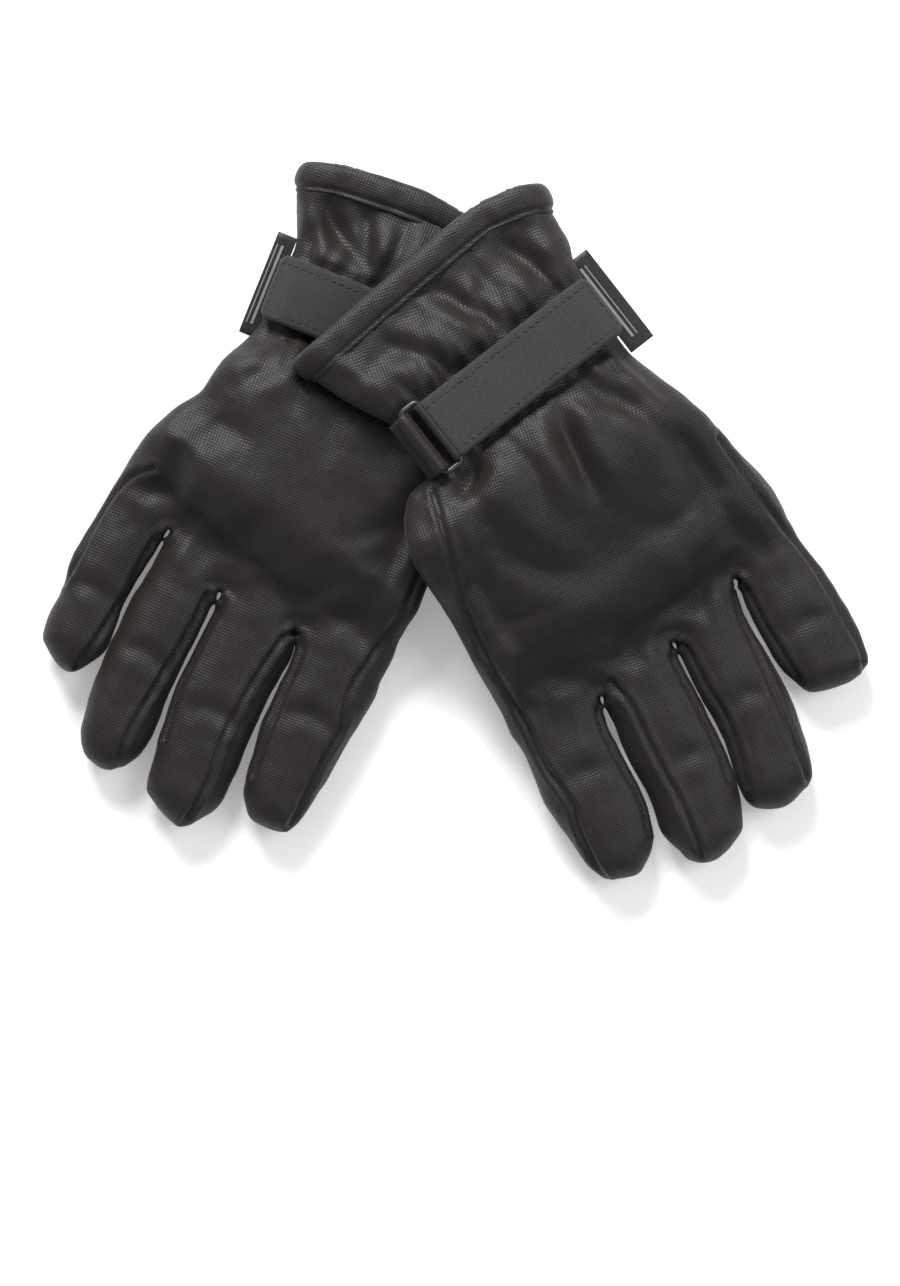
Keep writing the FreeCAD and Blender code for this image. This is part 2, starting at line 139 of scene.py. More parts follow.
LEFT = {
    "name": "left",
    "at": (21.3, 53.2),
    "turn": 200.0,
    "mirror": True,
    "strap_turn": -18.0,
    "strap_middle": (0.0, 0.0, 47.6),
    "roll": -4.0,
    "stations": [
        (-47, -16.5, -18, 36.5, 9, -2),
        (-15.2, -5, -18, 38.6, 9, -4),
        (15.2, 5, -18, 38.6, 9, -4),
        (38, 8.5, -9, 39.2, 10, -6),
        (80, 17, -13, 21.5, 10, -2.5),
        (107, 22.5, -13, 10.3, 10, 0),
        (117, 23.5, -13, 10.1, 10, 0),
    ],
    "index_side": [(-88, -53), (-73, -33), (-66, -22), (-59, -13), (-49, -2), (-43, 5), (-38, 13),
                   (-36.5, 20), (-40, 24.5), (-46, 26.5), (-50, 29), (-54, 36), (-56, 45), (-56, 54),
                   (-54, 62), (-52, 70)],
    "little_side": [(84, 86), (81, 71), (74, 54), (63, 32), (52, 14), (47, 4), (43, -12), (39.5, -26),
                    (38.5, -40), (38, -56), (37, -85)],
    "hem": [(-100, -25), (-73, -34), (-32, -50), (8, -64.5), (18, -66.5), (28, -67), (36, -66), (60, -62)],
    "fingers": {
        "index": ((-25, 121), 2.4, [
            (-50, 80), (-47, 99), (-44.5, 115), (-44, 126), (-42, 133), (-41, 144), (-40, 158), (-34.5, 179),
            (-31, 187), (-27, 191), (-17, 193), (-12, 190), (-7.5, 185), (-4.8, 178), (-3.8, 166),
            (-6.4, 147), (-7.4, 130), (-6.8, 124)]),
        "middle": ((11, 119), 0.7, [
            (-5.2, 124), (-6.0, 130), (-5.0, 147), (-2.4, 166), (-2.4, 180), (2, 190), (5, 195), (14, 198),
            (26, 192), (28.5, 188), (30.2, 181), (30.8, 172), (31, 157), (28.9, 140), (26.6, 122),
            (26.2, 114)]),
        "ring": ((42, 108), 2.1, [
            (27.8, 114), (28, 122), (30.3, 140), (32.4, 157), (32, 173), (32.5, 181), (36, 185.5),
            (46, 188), (57, 183), (60.5, 177), (61.8, 167), (61.8, 152), (60.2, 137), (58, 126),
            (56.3, 114), (56.2, 99)]),
        "little": ((73, 97), 8.0, [
            (57.8, 99), (57.8, 114), (59.8, 127), (62, 137), (66, 145), (69, 149.5), (74, 151.5), (85, 152),
            (92, 149), (94.5, 146), (95, 138), (94, 125), (91.5, 114), (87.5, 102), (85, 93)]),
    },
    "thumb": ((-20, 50), 45.0, 19.5, 14.6),
    "label_out": 9.0,
    "shell_start": -72,
    "hem_span": (-74, -10),
    "seams": [
        [(-8, 124), (-9.5, 131), (-8.5, 147), (-5.5, 166), (-6.5, 179)],
        [(-1, 120), (3, 131), (4, 142), (6, 159), (8, 172), (9, 194)],
        [(25, 114), (24.4, 121), (27, 140), (29, 157), (28.5, 171)],
        [(30, 116), (32.5, 131), (35.5, 148), (35.5, 164), (34.5, 175)],
        [(55, 101), (54.5, 114), (55.5, 132), (56, 156), (57, 172), (57, 181)],
        [(59, 101), (61, 118), (64, 132), (67, 144)],
        [(68, 47), (75, 72), (83, 94), (88, 113), (91, 129), (93, 141), (92, 149)],
        [(-40, 30), (-41, 40), (-43, 61), (-43, 88), (-39, 113), (-37, 127), (-36, 140), (-31, 158),
         (-32, 168), (-30, 185), (-28, 191)],
    ],
    "crotches": [(-6, 124), (27, 114), (57, 99)],
    "folds": [
        ([(15, 12), (14, 31), (15, 42), (17, 54)], 4.2, 4.2),
        ([(-26, 50), (-18, 64), (-5, 73), (6, 76)], 2.4, 6.0),
        ([(-36, 38), (-28, 32), (-14, 24)], 2.4, 3.8),
        ([(13, -54), (21, -43), (27, -31), (31, -18)], 3.2, 4.2),
        ([(-42, -30), (-30, -22), (-20, -12), (-14, -4)], 2.2, 3.8),
        ([(-16, -42), (-8, -34), (2, -22), (6, -16)], 2.0, 3.6),
        ([(2, -52), (4, -38), (8, -24)], 0.9, 3.0),
        ([(34, 14), (40, 28), (52, 44)], 1.2, 3.4),
        ([(-6, 26), (-2, 38), (-4, 52)], 1.1, 3.2),
        ([(-6, 118), (10, 112), (25, 110)], 0.9, 4.5),
        ([(27, 106), (42, 98), (55, 94)], 0.9, 4.5),
        ([(-40, 112), (-24, 110), (-10, 118)], 0.9, 4.5),
        ([(62, 94), (74, 90), (86, 90)], 0.8, 4.5),
        ([(-34, 152), (-22, 148), (-9, 151)], 0.9, 3.4),
        ([(8, 160), (18, 156), (28, 159)], 0.9, 3.4),
        ([(37, 146), (46, 142), (54, 145)], 0.9, 3.2),
        ([(66, 128), (77, 123), (88, 125)], 0.9, 3.2),
        ([(24, 66), (38, 72), (50, 70)], 0.8, 5.0),
    ],
    "bulges": [((-10, 90), 22, 1.3), ((45, 75), 20, 1.0), ((-22, 140), 9, 0.8), ((14, 140), 9, 0.8),
               ((44, 128), 9, 0.8), ((76, 116), 9, 0.8), ((-34, 48), 12, 1.6), ((-6, 73), 13, 3.0)],
    "seed": 9,
}
GLOVES = (RIGHT, LEFT)
FINGERS = ("index", "middle", "ring", "little")
RIM = 12.0  # how far in from the outline the padding rounds over
WALL = 4.0  # thickness of the cuff's wall
HEM_WIDTH = 12.5
HEM_SEAM = 10.4  # the hem's stitch line, measured from its edge
STUB = 14.0  # how far the hand's piece is modelled past each finger's cut, before it is trimmed
SWELL_CAP = 4.0  # the most that the simulated cloth may move
SWELL_FRAMES = 24
SWELL_GRID = 2.0
STRAP_WIDTH = 25.4
TAPE_WIDTH = 22.4
LABEL_WIDTH = 41.0
BASE_LIFT, LOOP_LIFT, HOOK_LIFT, TOP_LIFT = 0.85, 2.15, 3.6, 4.95  # the strap's layers above the wrist
FLAT_HALF, SIDE_RADIUS = 37, 9  # the wrist is flat this far each way, then turns down with this radius
BAR_HEIGHT = 2.9  # middle of the ring's bars above the wrist
RING_MIDDLE = -36


# Plan shapes ------------------------------------------------------------------------------------


def smooth_line(points, step=1.6):
    """A curve through the points, as evenly close points."""
    p = np.asarray(points, float)
    ends = np.vstack([2 * p[0] - p[1], p, 2 * p[-1] - p[-2]])
    out = []
    for i in range(len(p) - 1):
        a, b, c, d = ends[i : i + 4]
        count = max(2, int(np.hypot(*(c - b)[:2]) / step) + 1)
        t = np.linspace(0, 1, count, endpoint=False)[:, None]
        out.append(
            0.5 * (2 * b + (c - a) * t + (2 * a - 5 * b + 4 * c - d) * t**2 + (3 * b - a - 3 * c + d) * t**3)
        )
    out.append(p[-1:])
    return np.vstack(out)


def line_near(points, line):
    """How far each point is from a polyline, and the share of its length where it is nearest."""
    p = np.asarray(points, float)
    line = np.asarray(line, float)
    lengths = np.hypot(*(line[1:] - line[:-1]).T)
    total, done = lengths.sum(), 0.0
    best = np.full(len(p), 1e9)
    share = np.zeros(len(p))
    for a, b, length in zip(line[:-1], line[1:], lengths):
        along = (b - a) / max(length, 1e-9)
        t = np.clip((p - a) @ along, 0, length)
        gap = np.hypot(*(p - a - t[:, None] * along).T)
        nearer = gap < best
        best = np.where(nearer, gap, best)
        share = np.where(nearer, (done + t) / total, share)
        done += length
    return best, share


def depth_inside(polygon, u, v):
    """Signed distance from each grid point to the polygon's edge, positive inside."""
    p = np.asarray(polygon, float)
    q = np.roll(p, -1, 0)
    gap = np.full(u.shape, 1e9)
    inside = np.zeros(u.shape, bool)
    for (au, av), (bu, bv) in zip(p, q):
        du, dv = bu - au, bv - av
        square = du * du + dv * dv
        if square < 1e-12:
            continue
        t = np.clip(((u - au) * du + (v - av) * dv) / square, 0, 1)
        gap = np.minimum(gap, np.hypot(u - au - t * du, v - av - t * dv))
        if av != bv:
            inside ^= ((av > v) != (bv > v)) & (u < (v - av) * du / dv + au)
    return np.where(inside, gap, -gap)


def finger_way(glove, finger):
    """A finger's base point and its direction in plan."""
    base, turn, _ = glove["fingers"][finger]
    angle = math.radians(turn)
    return np.array(base, float), np.array([math.sin(angle), math.cos(angle)])


def finger_cut(glove, finger):
    """How far along a finger its piece starts: just past the farther of its two crotches."""
    base, way = finger_way(glove, finger)
    outline = np.asarray(glove["fingers"][finger][2], float)
    ends = [outline[0]] * (finger != "index") + [outline[-1]] * (finger != "little")
    return max(float((e - base) @ way) for e in ends) + 2.0


def finger_polygon(glove, finger):
    """A finger's outline with straight sides carried back into the hand."""
    _, way = finger_way(glove, finger)
    outline = smooth_line(glove["fingers"][finger][2])
    back = 22.0
    return np.vstack([outline[0] - way * back, outline, outline[-1] - way * back])


def hand_polygon(glove):
    """The hand's outline with a short stub where each finger starts."""
    parts = [smooth_line(glove["index_side"] + [glove["fingers"]["index"][2][0]])[:-1]]
    for finger in FINGERS:
        base, way = finger_way(glove, finger)
        limit = finger_cut(glove, finger) + STUB
        outline = smooth_line(glove["fingers"][finger][2])
        along = (outline - base) @ way
        first = int(np.argmax(along > limit))
        last = len(along) - int(np.argmax(along[::-1] > limit))
        parts.append(outline[:first])
        parts.append(outline[last:])
    parts.append(smooth_line([glove["fingers"]["little"][2][-1]] + glove["little_side"])[1:])
    return np.vstack(parts)


def hem_line(glove, u):
    """Place of the hem's edge along the glove, at each u."""
    line = smooth_line(glove["hem"], 4.0)
    return np.interp(u, line[:, 0], line[:, 1])


def lie(glove, us, vs):
    """Height of the middle and half thickness over a plan grid."""
    table = []
    rows = [np.array(s, float) for s in glove["stations"]]
    for a, b in zip(rows[:-1], rows[1:]):
        for t in np.linspace(0, 1, 12, endpoint=False):
            ease = t * t * (3 - 2 * t)
            row = a + (b - a) * t
            row[3:] = a[3:] + (b - a)[3:] * ease
            table.append(row)
    table.append(rows[-1])
    table = np.array(table)
    middle = np.empty((len(us), len(vs)))
    half = np.empty_like(middle)
    for i, u in enumerate(us):
        line = table[:, 0] + (u - table[:, 1]) * np.tan(np.radians(table[:, 2]))
        line = np.maximum.accumulate(line)
        roll = np.interp(vs, line, (u - table[:, 1]) * np.tan(np.radians(table[:, 5])))
        middle[i] = np.interp(vs, line, table[:, 3]) + roll
        half[i] = np.interp(vs, line, table[:, 4])
    return middle, half


# Padded shapes ----------------------------------------------------------------------------------


def surface_nets(field, low, step):
    """Points and four-sided faces of the surface where a 3-D grid of values passes zero."""
    inside = field < 0
    size = np.array(field.shape) - 1
    corners = [(i, j, k) for i in (0, 1) for j in (0, 1) for k in (0, 1)]
    count = np.zeros(size, np.int8)
    for i, j, k in corners:
        count += inside[i : size[0] + i, j : size[1] + j, k : size[2] + k]
    cells = np.argwhere((count > 0) & (count < 8))
    number = np.full(size, -1)
    number[tuple(cells.T)] = np.arange(len(cells))
    values = np.stack([field[cells[:, 0] + i, cells[:, 1] + j, cells[:, 2] + k] for i, j, k in corners], 1)
    place = np.zeros((len(cells), 3))
    hits = np.zeros(len(cells))
    for a in range(8):
        for b in range(a + 1, 8):
            way = np.array(corners[b]) - np.array(corners[a])
            if np.abs(way).sum() != 1:
                continue
            crossed = (values[:, a] < 0) != (values[:, b] < 0)
            share = values[crossed, a] / (values[crossed, a] - values[crossed, b])
            place[crossed] += np.array(corners[a]) + share[:, None] * way
            hits[crossed] += 1
    points = np.asarray(low) + (place / hits[:, None] + cells) * step
    faces = []
    for axis in range(3):
        left, right = [slice(None)] * 3, [slice(None)] * 3
        left[axis], right[axis] = slice(0, -1), slice(1, None)
        edge = np.argwhere(inside[tuple(left)] != inside[tuple(right)])
        one, two = (axis + 1) % 3, (axis + 2) % 3
        keep = (edge[:, one] > 0) & (edge[:, two] > 0)
        keep &= (edge[:, one] < size[one]) & (edge[:, two] < size[two])
        edge = edge[keep]
        outward = inside[tuple(edge.T)]
        step_one, step_two = np.eye(3, dtype=int)[one], np.eye(3, dtype=int)[two]
        around = [edge - step_one - step_two, edge - step_two, edge, edge - step_one]
        quad = np.stack([number[tuple(c.T)] for c in around], 1)
        quad[~outward] = quad[~outward][:, ::-1]
        faces.append(quad)
    return points, np.vstack(faces)


def sampled(grid, us, vs, u, v):
    """A plan grid's value at any places, read smoothly between its points."""
    step = us[1] - us[0]
    x = np.clip((u - us[0]) / step, 0, len(us) - 1.001)
    y = np.clip((v - vs[0]) / step, 0, len(vs) - 1.001)
    i, j = x.astype(int), y.astype(int)
    s, t = x - i, y - j
    low = grid[i, j] * (1 - s) + grid[i + 1, j] * s
    high = grid[i, j + 1] * (1 - s) + grid[i + 1, j + 1] * s
    return low * (1 - t) + high * t


def smooth_max(a, b, k):
    """The larger of two fields, rounded where they meet."""
    share = np.clip(0.5 + 0.5 * (a - b) / k, 0, 1)
    return b + (a - b) * share + k * share * (1 - share)


class Pillow:
    """A padded shape over a plan outline, rounded over at its edges."""

    def __init__(self, glove, polygon, low, high, grow=0.0, step=1.0):
        self.us = np.arange(low[0], high[0], step)
        self.vs = np.arange(low[1], high[1], step)
        self.step = step
        u, v = np.meshgrid(self.us, self.vs, indexing="ij")
        self.depth = depth_inside(polygon, u, v) + grow
        self.middle, self.half = lie(glove, self.us, self.vs)
        self.half = self.half + grow
        self.hem = v - hem_line(glove, u)
        self.grow = grow

    def value(self, depth, middle, half, z, inset=0.0):
        """The field: below zero inside the padding, drawn in by the inset."""
        rim = RIM + self.grow - inset * 0.7
        over = np.clip(rim - (depth - inset), 0, None) / rim
        return np.sqrt(over**2 + ((z - middle) / (half - inset)) ** 2) - 1

    def under(self, p):
        """Depth from the outline, middle height and half thickness at any points."""
        grids = (self.depth, self.middle, self.half)
        return (sampled(grid, self.us, self.vs, p[:, 0], p[:, 1]) for grid in grids)

    def at(self, p, hollow):
        """The field at any points; hollow keeps only the wall and cuts the hem open."""
        depth, middle, half = self.under(p)
        outer = self.value(depth, middle, half, p[:, 2])
        if hollow is None:
            return outer
        inner = self.value(depth, middle, half, p[:, 2], WALL)
        hem = sampled(self.hem, self.us, self.vs, p[:, 0], p[:, 1])
        return self.combined(outer, inner, hem, p[:, 1], hollow)

    def combined(self, outer, inner, hem, v, hollow):
        """The wall between the outer and inner surface, from the start to the end of the hollow."""
        start, end = hollow
        room = np.maximum(inner, (v - 58) / 10)
        wall = smooth_max(outer, -room, 0.2)
        return smooth_max(smooth_max(wall, (start - hem) / 10, 0.3), (hem - end) / 10, 0.12)

    def mesh(self, hollow=None, settle=3):
        """The surface as points and faces, its points drawn onto the field in a few steps."""
        low = self.middle.min() - self.half.max() - 3
        high = self.middle.max() + self.half.max() + 3
        zs = np.arange(low, high, self.step)
        z = zs[None, None, :]
        d, m, h = (g[:, :, None] for g in (self.depth, self.middle, self.half))
        field = self.value(d, m, h, z)
        if hollow is not None:
            inner = self.value(d, m, h, z, WALL)
            field = self.combined(field, inner, self.hem[:, :, None], self.vs[None, :, None], hollow)
        points, faces = surface_nets(field, (self.us[0], self.vs[0], zs[0]), self.step)
        for _ in range(settle):
            value = self.at(points, hollow)
            slope = np.empty_like(points)
            for axis in range(3):
                nudge = np.zeros(3)
                nudge[axis] = 0.25
                slope[:, axis] = (self.at(points + nudge, hollow) - self.at(points - nudge, hollow)) / 0.5
            move = -(value / np.maximum((slope**2).sum(1), 1e-4))[:, None] * slope
            size = np.linalg.norm(move, axis=1)
            points += move * np.minimum(1, 0.6 / np.maximum(size, 1e-9))[:, None]
        return points, faces


def point_normals(points, faces):
    """Each point's outward direction."""
    a, b, c, d = (points[faces[:, i]] for i in range(4))
    face = np.cross(c - a, d - b)
    out = np.zeros_like(points)
    for i in range(4):
        for axis in range(3):
            out[:, axis] += np.bincount(faces[:, i], face[:, axis], len(points))
    return out / np.maximum(np.linalg.norm(out, axis=1), 1e-9)[:, None]


def evened(points, faces, rounds):
    """Points drawn to the middle of their neighbours."""
    for _ in range(rounds):
        total = np.zeros_like(points)
        count = np.zeros(len(points))
        for i in range(4):
            nxt = faces[:, (i + 1) % 4]
            for axis in range(3):
                total[:, axis] += np.bincount(faces[:, i], points[nxt, axis], len(points))
                total[:, axis] += np.bincount(nxt, points[faces[:, i], axis], len(points))
            count += np.bincount(faces[:, i], minlength=len(points)) + np.bincount(nxt, minlength=len(points))
        points = points + (total / np.maximum(count, 1)[:, None] - points) * 0.5
    return points


# The cloth's relief -----------------------------------------------------------------------------


def ripple(u, v, scale, seed):
    """Smooth random waves between about -1 and 1."""
    values = np.random.RandomState(seed).uniform(-1, 1, (64, 64))
    x, y = u / scale + 200, v / scale + 200
    i, j = np.floor(x).astype(int), np.floor(y).astype(int)
    s, t = x - i, y - j
    s, t = s * s * (3 - 2 * s), t * t * (3 - 2 * t)
    get = lambda a, b: values[(i + a) % 64, (j + b) % 64]
    return (get(0, 0) * (1 - s) + get(1, 0) * s) * (1 - t) + (get(0, 1) * (1 - s) + get(1, 1) * s) * t


def seam_relief(p, line, depth=1.3, width=0.8):
    """A sewn seam: a groove between two soft ridges, gathered a little by the thread."""
    gap, share = line_near(p, smooth_line(line, 3.0))
    length = np.hypot(*np.diff(np.asarray(line, float), axis=0).T).sum()
    pucker = 1 + 0.18 * np.sin(share * length * 2 * math.pi / 9.0 + gap * 0.4)
    ridge = 0.4 * np.exp(-(((gap - 2.4) / 1.3) ** 2)) * pucker
    return depth * (ridge - np.exp(-((gap / width) ** 2)))


def fold_relief(p, line, depth, width):
    """A soft valley with a raised lip on each side, fading at its ends."""
    gap, share = line_near(p, smooth_line(line, 3.0))
    fade = np.clip(np.sin(np.clip(share, 0.02, 0.98) * math.pi), 0, 1) ** 0.8
    lip = 0.45 * np.exp(-(((gap - 2.1 * width) / (1.3 * width)) ** 2))
    return depth * fade * (lip - np.exp(-((gap / width) ** 2)))


def strap_across(glove, p):
    """Distance along and across the strap from its middle."""
    angle = math.radians(glove["strap_turn"])
    u = p[:, 0] - glove["strap_middle"][0]
    v = p[:, 1] - glove["strap_middle"][1]
    return u * math.cos(angle) + v * math.sin(angle), v * math.cos(angle) - u * math.sin(angle)


def gathers(glove, p):
    """The wrist's elastic: the cloth is held down under the strap and puckers beside it."""
    along, across = strap_across(glove, p)
    rng = np.random.RandomState(glove["seed"])
    out = -0.5 * np.exp(-((across / 12.0) ** 6)) - 0.7 * np.exp(-(((np.abs(across) - 14.5) / 2.4) ** 2))
    for side in (-1, 1):
        place = -42.0
        while place < 42:
            place += rng.uniform(5.0, 9.5)
            reach, lean = rng.uniform(12, 24), rng.uniform(-0.35, 0.35)
            width, depth = rng.uniform(1.5, 2.6), rng.uniform(0.4, 1.0)
            far = across * side - 13
            centre = place + far * lean
            fade = np.clip(1 - far / reach, 0, 1) * (far > -6) * np.clip((far + 6) / 4, 0, 1)
            gap = np.abs(along - centre)
            lip = 0.5 * np.exp(-(((gap - 2.2 * width) / width) ** 2))
            out += depth * fade * (lip - np.exp(-((gap / width) ** 2)))
    return out


def simulated_swell(glove):
    """Lets the hand swell as cloth held by its seams, hem, strap, finger roots and underside. Returns how
    far its upper side moved, on a plan grid."""
    polygon = hand_polygon(glove)
    low, high = polygon.min(0) - 9, polygon.max(0) + 9
    low[1] = min(s[0] for s in glove["stations"]) - 26
    pillow = Pillow(glove, polygon, low, high, step=4.0)
    points, faces = pillow.mesh()
    normals = point_normals(points, faces)
    plan = points[:, :2]
    held = np.where(normals[:, 2] < 0.25, 1.0, 0.0)
    held = np.maximum(held, np.abs(strap_across(glove, points)[1]) < 13)
    held = np.maximum(held, points[:, 1] < hem_line(glove, points[:, 0]) + 11)
    for line in glove["seams"]:
        held = np.maximum(held, line_near(plan, np.array(line, float))[0] < 3.5)
    for finger in FINGERS:
        base, way = finger_way(glove, finger)
        width = np.abs((plan - base) @ np.array([way[1], -way[0]])) < 18
        held = np.maximum(held, width & ((plan - base) @ way > finger_cut(glove, finger) - 5))
    piece = make_piece(glove, "swell", points, faces, [])
    group = piece.vertex_groups.new(name="held")
    group.add(np.nonzero(held)[0].tolist(), 1.0, "REPLACE")
    cloth = piece.modifiers.new("cloth", "CLOTH")
    choices = {
        "quality": 6, "mass": 0.2, "tension_stiffness": 12, "compression_stiffness": 12,
        "shear_stiffness": 4, "bending_stiffness": 0.25, "vertex_group_mass": "held",
        "use_pressure": True, "uniform_pressure_force": 3.0, "shrink_min": -0.07,
    }
    for name, value in choices.items():
        setattr(cloth.settings, name, value)
    cloth.settings.effector_weights.gravity = 0
    cloth.point_cache.frame_start = 1
    cloth.point_cache.frame_end = SWELL_FRAMES
    scene = bpy.context.scene
    for step in range(1, SWELL_FRAMES + 1):
        scene.frame_set(step)
    done = piece.evaluated_get(bpy.context.evaluated_depsgraph_get()).data
    after = np.empty(len(points) * 3)
    done.vertices.foreach_get("co", after)
    moved = after.reshape(-1, 3) * 1000 - placed(glove, points) * 1000
    out = (placed(glove, points + normals) - placed(glove, points)) * 1000
    rise = np.clip((moved * out).sum(1), -SWELL_CAP, SWELL_CAP)
    scene.frame_set(1)
    bpy.data.objects.remove(piece)
    top = (normals[:, 2] > 0.1) & ~np.isnan(rise)
    us, vs = np.arange(low[0], high[0], SWELL_GRID), np.arange(low[1], high[1], SWELL_GRID)
    total, weight = np.zeros((len(us), len(vs))), np.full((len(us), len(vs)), 1e-6)
    for (u, v), value in zip(plan[top], rise[top]):
        near = np.exp(-(((us[:, None] - u) ** 2 + (vs[None, :] - v) ** 2) / 3.4**2))
        total += near * value
        weight += near
    return us, vs, total / weight


def swell(glove, p):
    """The simulated rise at each place, fading out before the fingers' cuts."""
    if glove["swell"] is None:
        return 0.0
    us, vs, grid = glove["swell"]
    out = sampled(grid, us, vs, p[:, 0], p[:, 1])
    for finger in FINGERS:
        base, way = finger_way(glove, finger)
        along = (p[:, :2] - base) @ way - finger_cut(glove, finger)
        width = np.abs((p[:, :2] - base) @ np.array([way[1], -way[0]]))
        out = out * np.clip(np.maximum((-2 - along) / 8, (width - 19) / 6), 0, 1)
    return out


def relief(glove, p, up):
    """How far the cloth stands out at each place: seams, folds, gathers and soft unevenness."""
    plan = p[:, :2]
    out = np.zeros(len(p))
    for line in glove["seams"]:
        out += seam_relief(plan, line)
    for line, depth, width in glove["folds"]:
        out += fold_relief(plan, line, depth, width)
    for centre, size, height in glove["bulges"]:
        gap = np.hypot(*(plan - np.array(centre)).T)
        out += height * np.exp(-((gap / size) ** 2))
    for centre in glove["crotches"]:
        gap = np.hypot(*(plan - np.array(centre) - [0, 1.0]).T)
        out += 1.5 * np.exp(-(((gap - 3.2) / 1.3) ** 2))
    out += gathers(glove, p) + swell(glove, p)
    top = np.clip(up * 2.2 + 0.15, 0, 1)
    seed = glove["seed"]
    soft = 0.55 * ripple(p[:, 0], p[:, 1], 17, seed) + 0.22 * ripple(p[:, 0], p[:, 1], 8, seed + 1)
    soft += 0.10 * ripple(p[:, 0] + 0.3 * p[:, 2], p[:, 1], 4, seed + 2)
    return out * top + soft


# Placing and making pieces ----------------------------------------------------------------------


def placed(glove, p):
    """Glove plan millimetres to the pair's frame in metres."""
    p = np.asarray(p, float).reshape(-1, 3)
    turn = math.radians(glove["turn"])
    u = -p[:, 0] if glove["mirror"] else p[:, 0]
    x = glove["at"][0] + u * math.cos(turn) - p[:, 1] * math.sin(turn)
    y = glove["at"][1] + u * math.sin(turn) + p[:, 1] * math.cos(turn)
    return np.stack([x, y, p[:, 2]], 1) / 1000


def on_strap(glove, p):
    """Strap frame (x to the free end, y across, z off the wrist) to glove plan."""
    p = np.asarray(p, float).reshape(-1, 3)
    roll, turn = math.radians(glove["roll"]), math.radians(glove["strap_turn"])
    x = p[:, 0] * math.cos(roll) - p[:, 2] * math.sin(roll)
    z = p[:, 0] * math.sin(roll) + p[:, 2] * math.cos(roll)
    u = x * math.cos(turn) - p[:, 1] * math.sin(turn)
    v = x * math.sin(turn) + p[:, 1] * math.cos(turn)
    return np.stack([u, v, z], 1) + np.array(glove["strap_middle"])


def box_uv(points, faces):
    """Cloth coordinates for each face corner, in millimetres, laid on the face's main direction."""
    normals = point_normals(points, faces)
    face = normals[faces].mean(1)
    main = np.argmax(np.abs(face) * [1, 1, 1.25], axis=1)
    p = points[faces]
    uv = np.empty(faces.shape + (2,))
    for axis, (a, b) in enumerate([(2, 1), (0, 2), (0, 1)]):
        pick = main == axis
        uv[pick, :, 0] = p[pick][:, :, a]
        uv[pick, :, 1] = p[pick][:, :, b]
    return uv


def linked(name, data):
    """An object made from its data and put in the scene."""
    made = bpy.data.objects.new(name, data)
    bpy.context.scene.collection.objects.link(made)
    return made


def tube_faces(rows, count, closed=False):
    """Four-sided faces between rings of points; closed joins the last ring to the first."""
    faces = []
    for i in range(rows if closed else rows - 1):
        m = (i + 1) % rows
        for j in range(count):
            k = (j + 1) % count
            faces.append((i * count + j, i * count + k, m * count + k, m * count + j))
    return np.array(faces)


def make_piece(glove, name, points, faces, materials, uv=None, face_material=None):
    """A mesh object at the frame's origin from glove plan points."""
    flip = glove["mirror"]
    mesh = bpy.data.meshes.new(name)
    order = faces[:, ::-1] if flip else faces
    mesh.from_pydata(placed(glove, points), [], order.tolist())
    if uv is None:
        uv = box_uv(points, faces)
    uv = uv[:, ::-1] if flip else uv
    layer = mesh.uv_layers.new(name="cloth")
    layer.data.foreach_set("uv", np.ascontiguousarray(uv, dtype=np.float32).ravel())
    mesh.polygons.foreach_set("use_smooth", [True] * len(order))
    for material in materials:
        mesh.materials.append(material)
    if face_material is not None:
        mesh.polygons.foreach_set("material_index", np.asarray(face_material, np.int32))
    piece = linked(name, mesh)
    mesh.update()
    return piece


def direction(glove, way):
    """A plan direction in the pair's frame."""
    a, b = placed(glove, [0, 0, 0])[0], placed(glove, [way[0], way[1], 0])[0]
    return (b - a) / np.linalg.norm(b - a)


def finger_point(glove, finger, along):
    """A point on a finger's middle line, in the pair's frame."""
    base, way = finger_way(glove, finger)
    spot = base + way * along
    return placed(glove, [spot[0], spot[1], 10.0])[0]


def close_rims(bm):
    """Fills the open ends of a mesh with flat, sharp-edged faces."""
    rim = [e for e in bm.edges if e.is_boundary]
    for edge in rim:
        edge.smooth = False
    for face in bmesh.ops.holes_fill(bm, edges=rim, sides=0)["faces"]:
        face.smooth = False
    bm.normal_update()


def cut_back(glove, piece, finger, keep_tip):
    """Cuts a piece square across one finger and closes the cut."""
    base, way = finger_way(glove, finger)
    origin, axis = finger_point(glove, finger, finger_cut(glove, finger)), direction(glove, way)
    bm = bmesh.new()
    bm.from_mesh(piece.data)
    if keep_tip:
        chosen = bm.verts[:] + bm.edges[:] + bm.faces[:]
        bmesh.ops.bisect_plane(bm, geom=chosen, dist=1e-6, plane_co=origin, plane_no=axis, clear_inner=True)
    else:
        side = direction(glove, (way[1], -way[0]))
        outline = smooth_line(glove["fingers"][finger][2])
        along = (outline - base) @ way
        across = (outline - base) @ np.array([way[1], -way[0]])
        near = (along > finger_cut(glove, finger) - 3) & (along < finger_cut(glove, finger) + STUB + 2)
        low, high = across[near].min() - 0.6, across[near].max() + 0.6
        low, high = low / 1000, high / 1000

        def ours(place):
            rel = np.array(place) - origin
            return low < rel @ side < high and -0.003 < rel @ axis < 0.03

        faces = [f for f in bm.faces if ours(f.calc_center_median())]
        edges = list({e for f in faces for e in f.edges})
        verts = list({v for f in faces for v in f.verts})
        bmesh.ops.bisect_plane(bm, geom=verts + edges + faces, dist=1e-6, plane_co=origin, plane_no=axis)
        centres = [(f, np.array(f.calc_center_median())) for f in bm.faces]
        gone = [f for f, centre in centres if ours(centre) and (centre - origin) @ axis > 0]
        bmesh.ops.delete(bm, geom=gone, context="FACES")
    close_rims(bm)
    bm.to_mesh(piece.data)
    bm.free()
    return piece


# Materials --------------------------------------------------------------------------------------


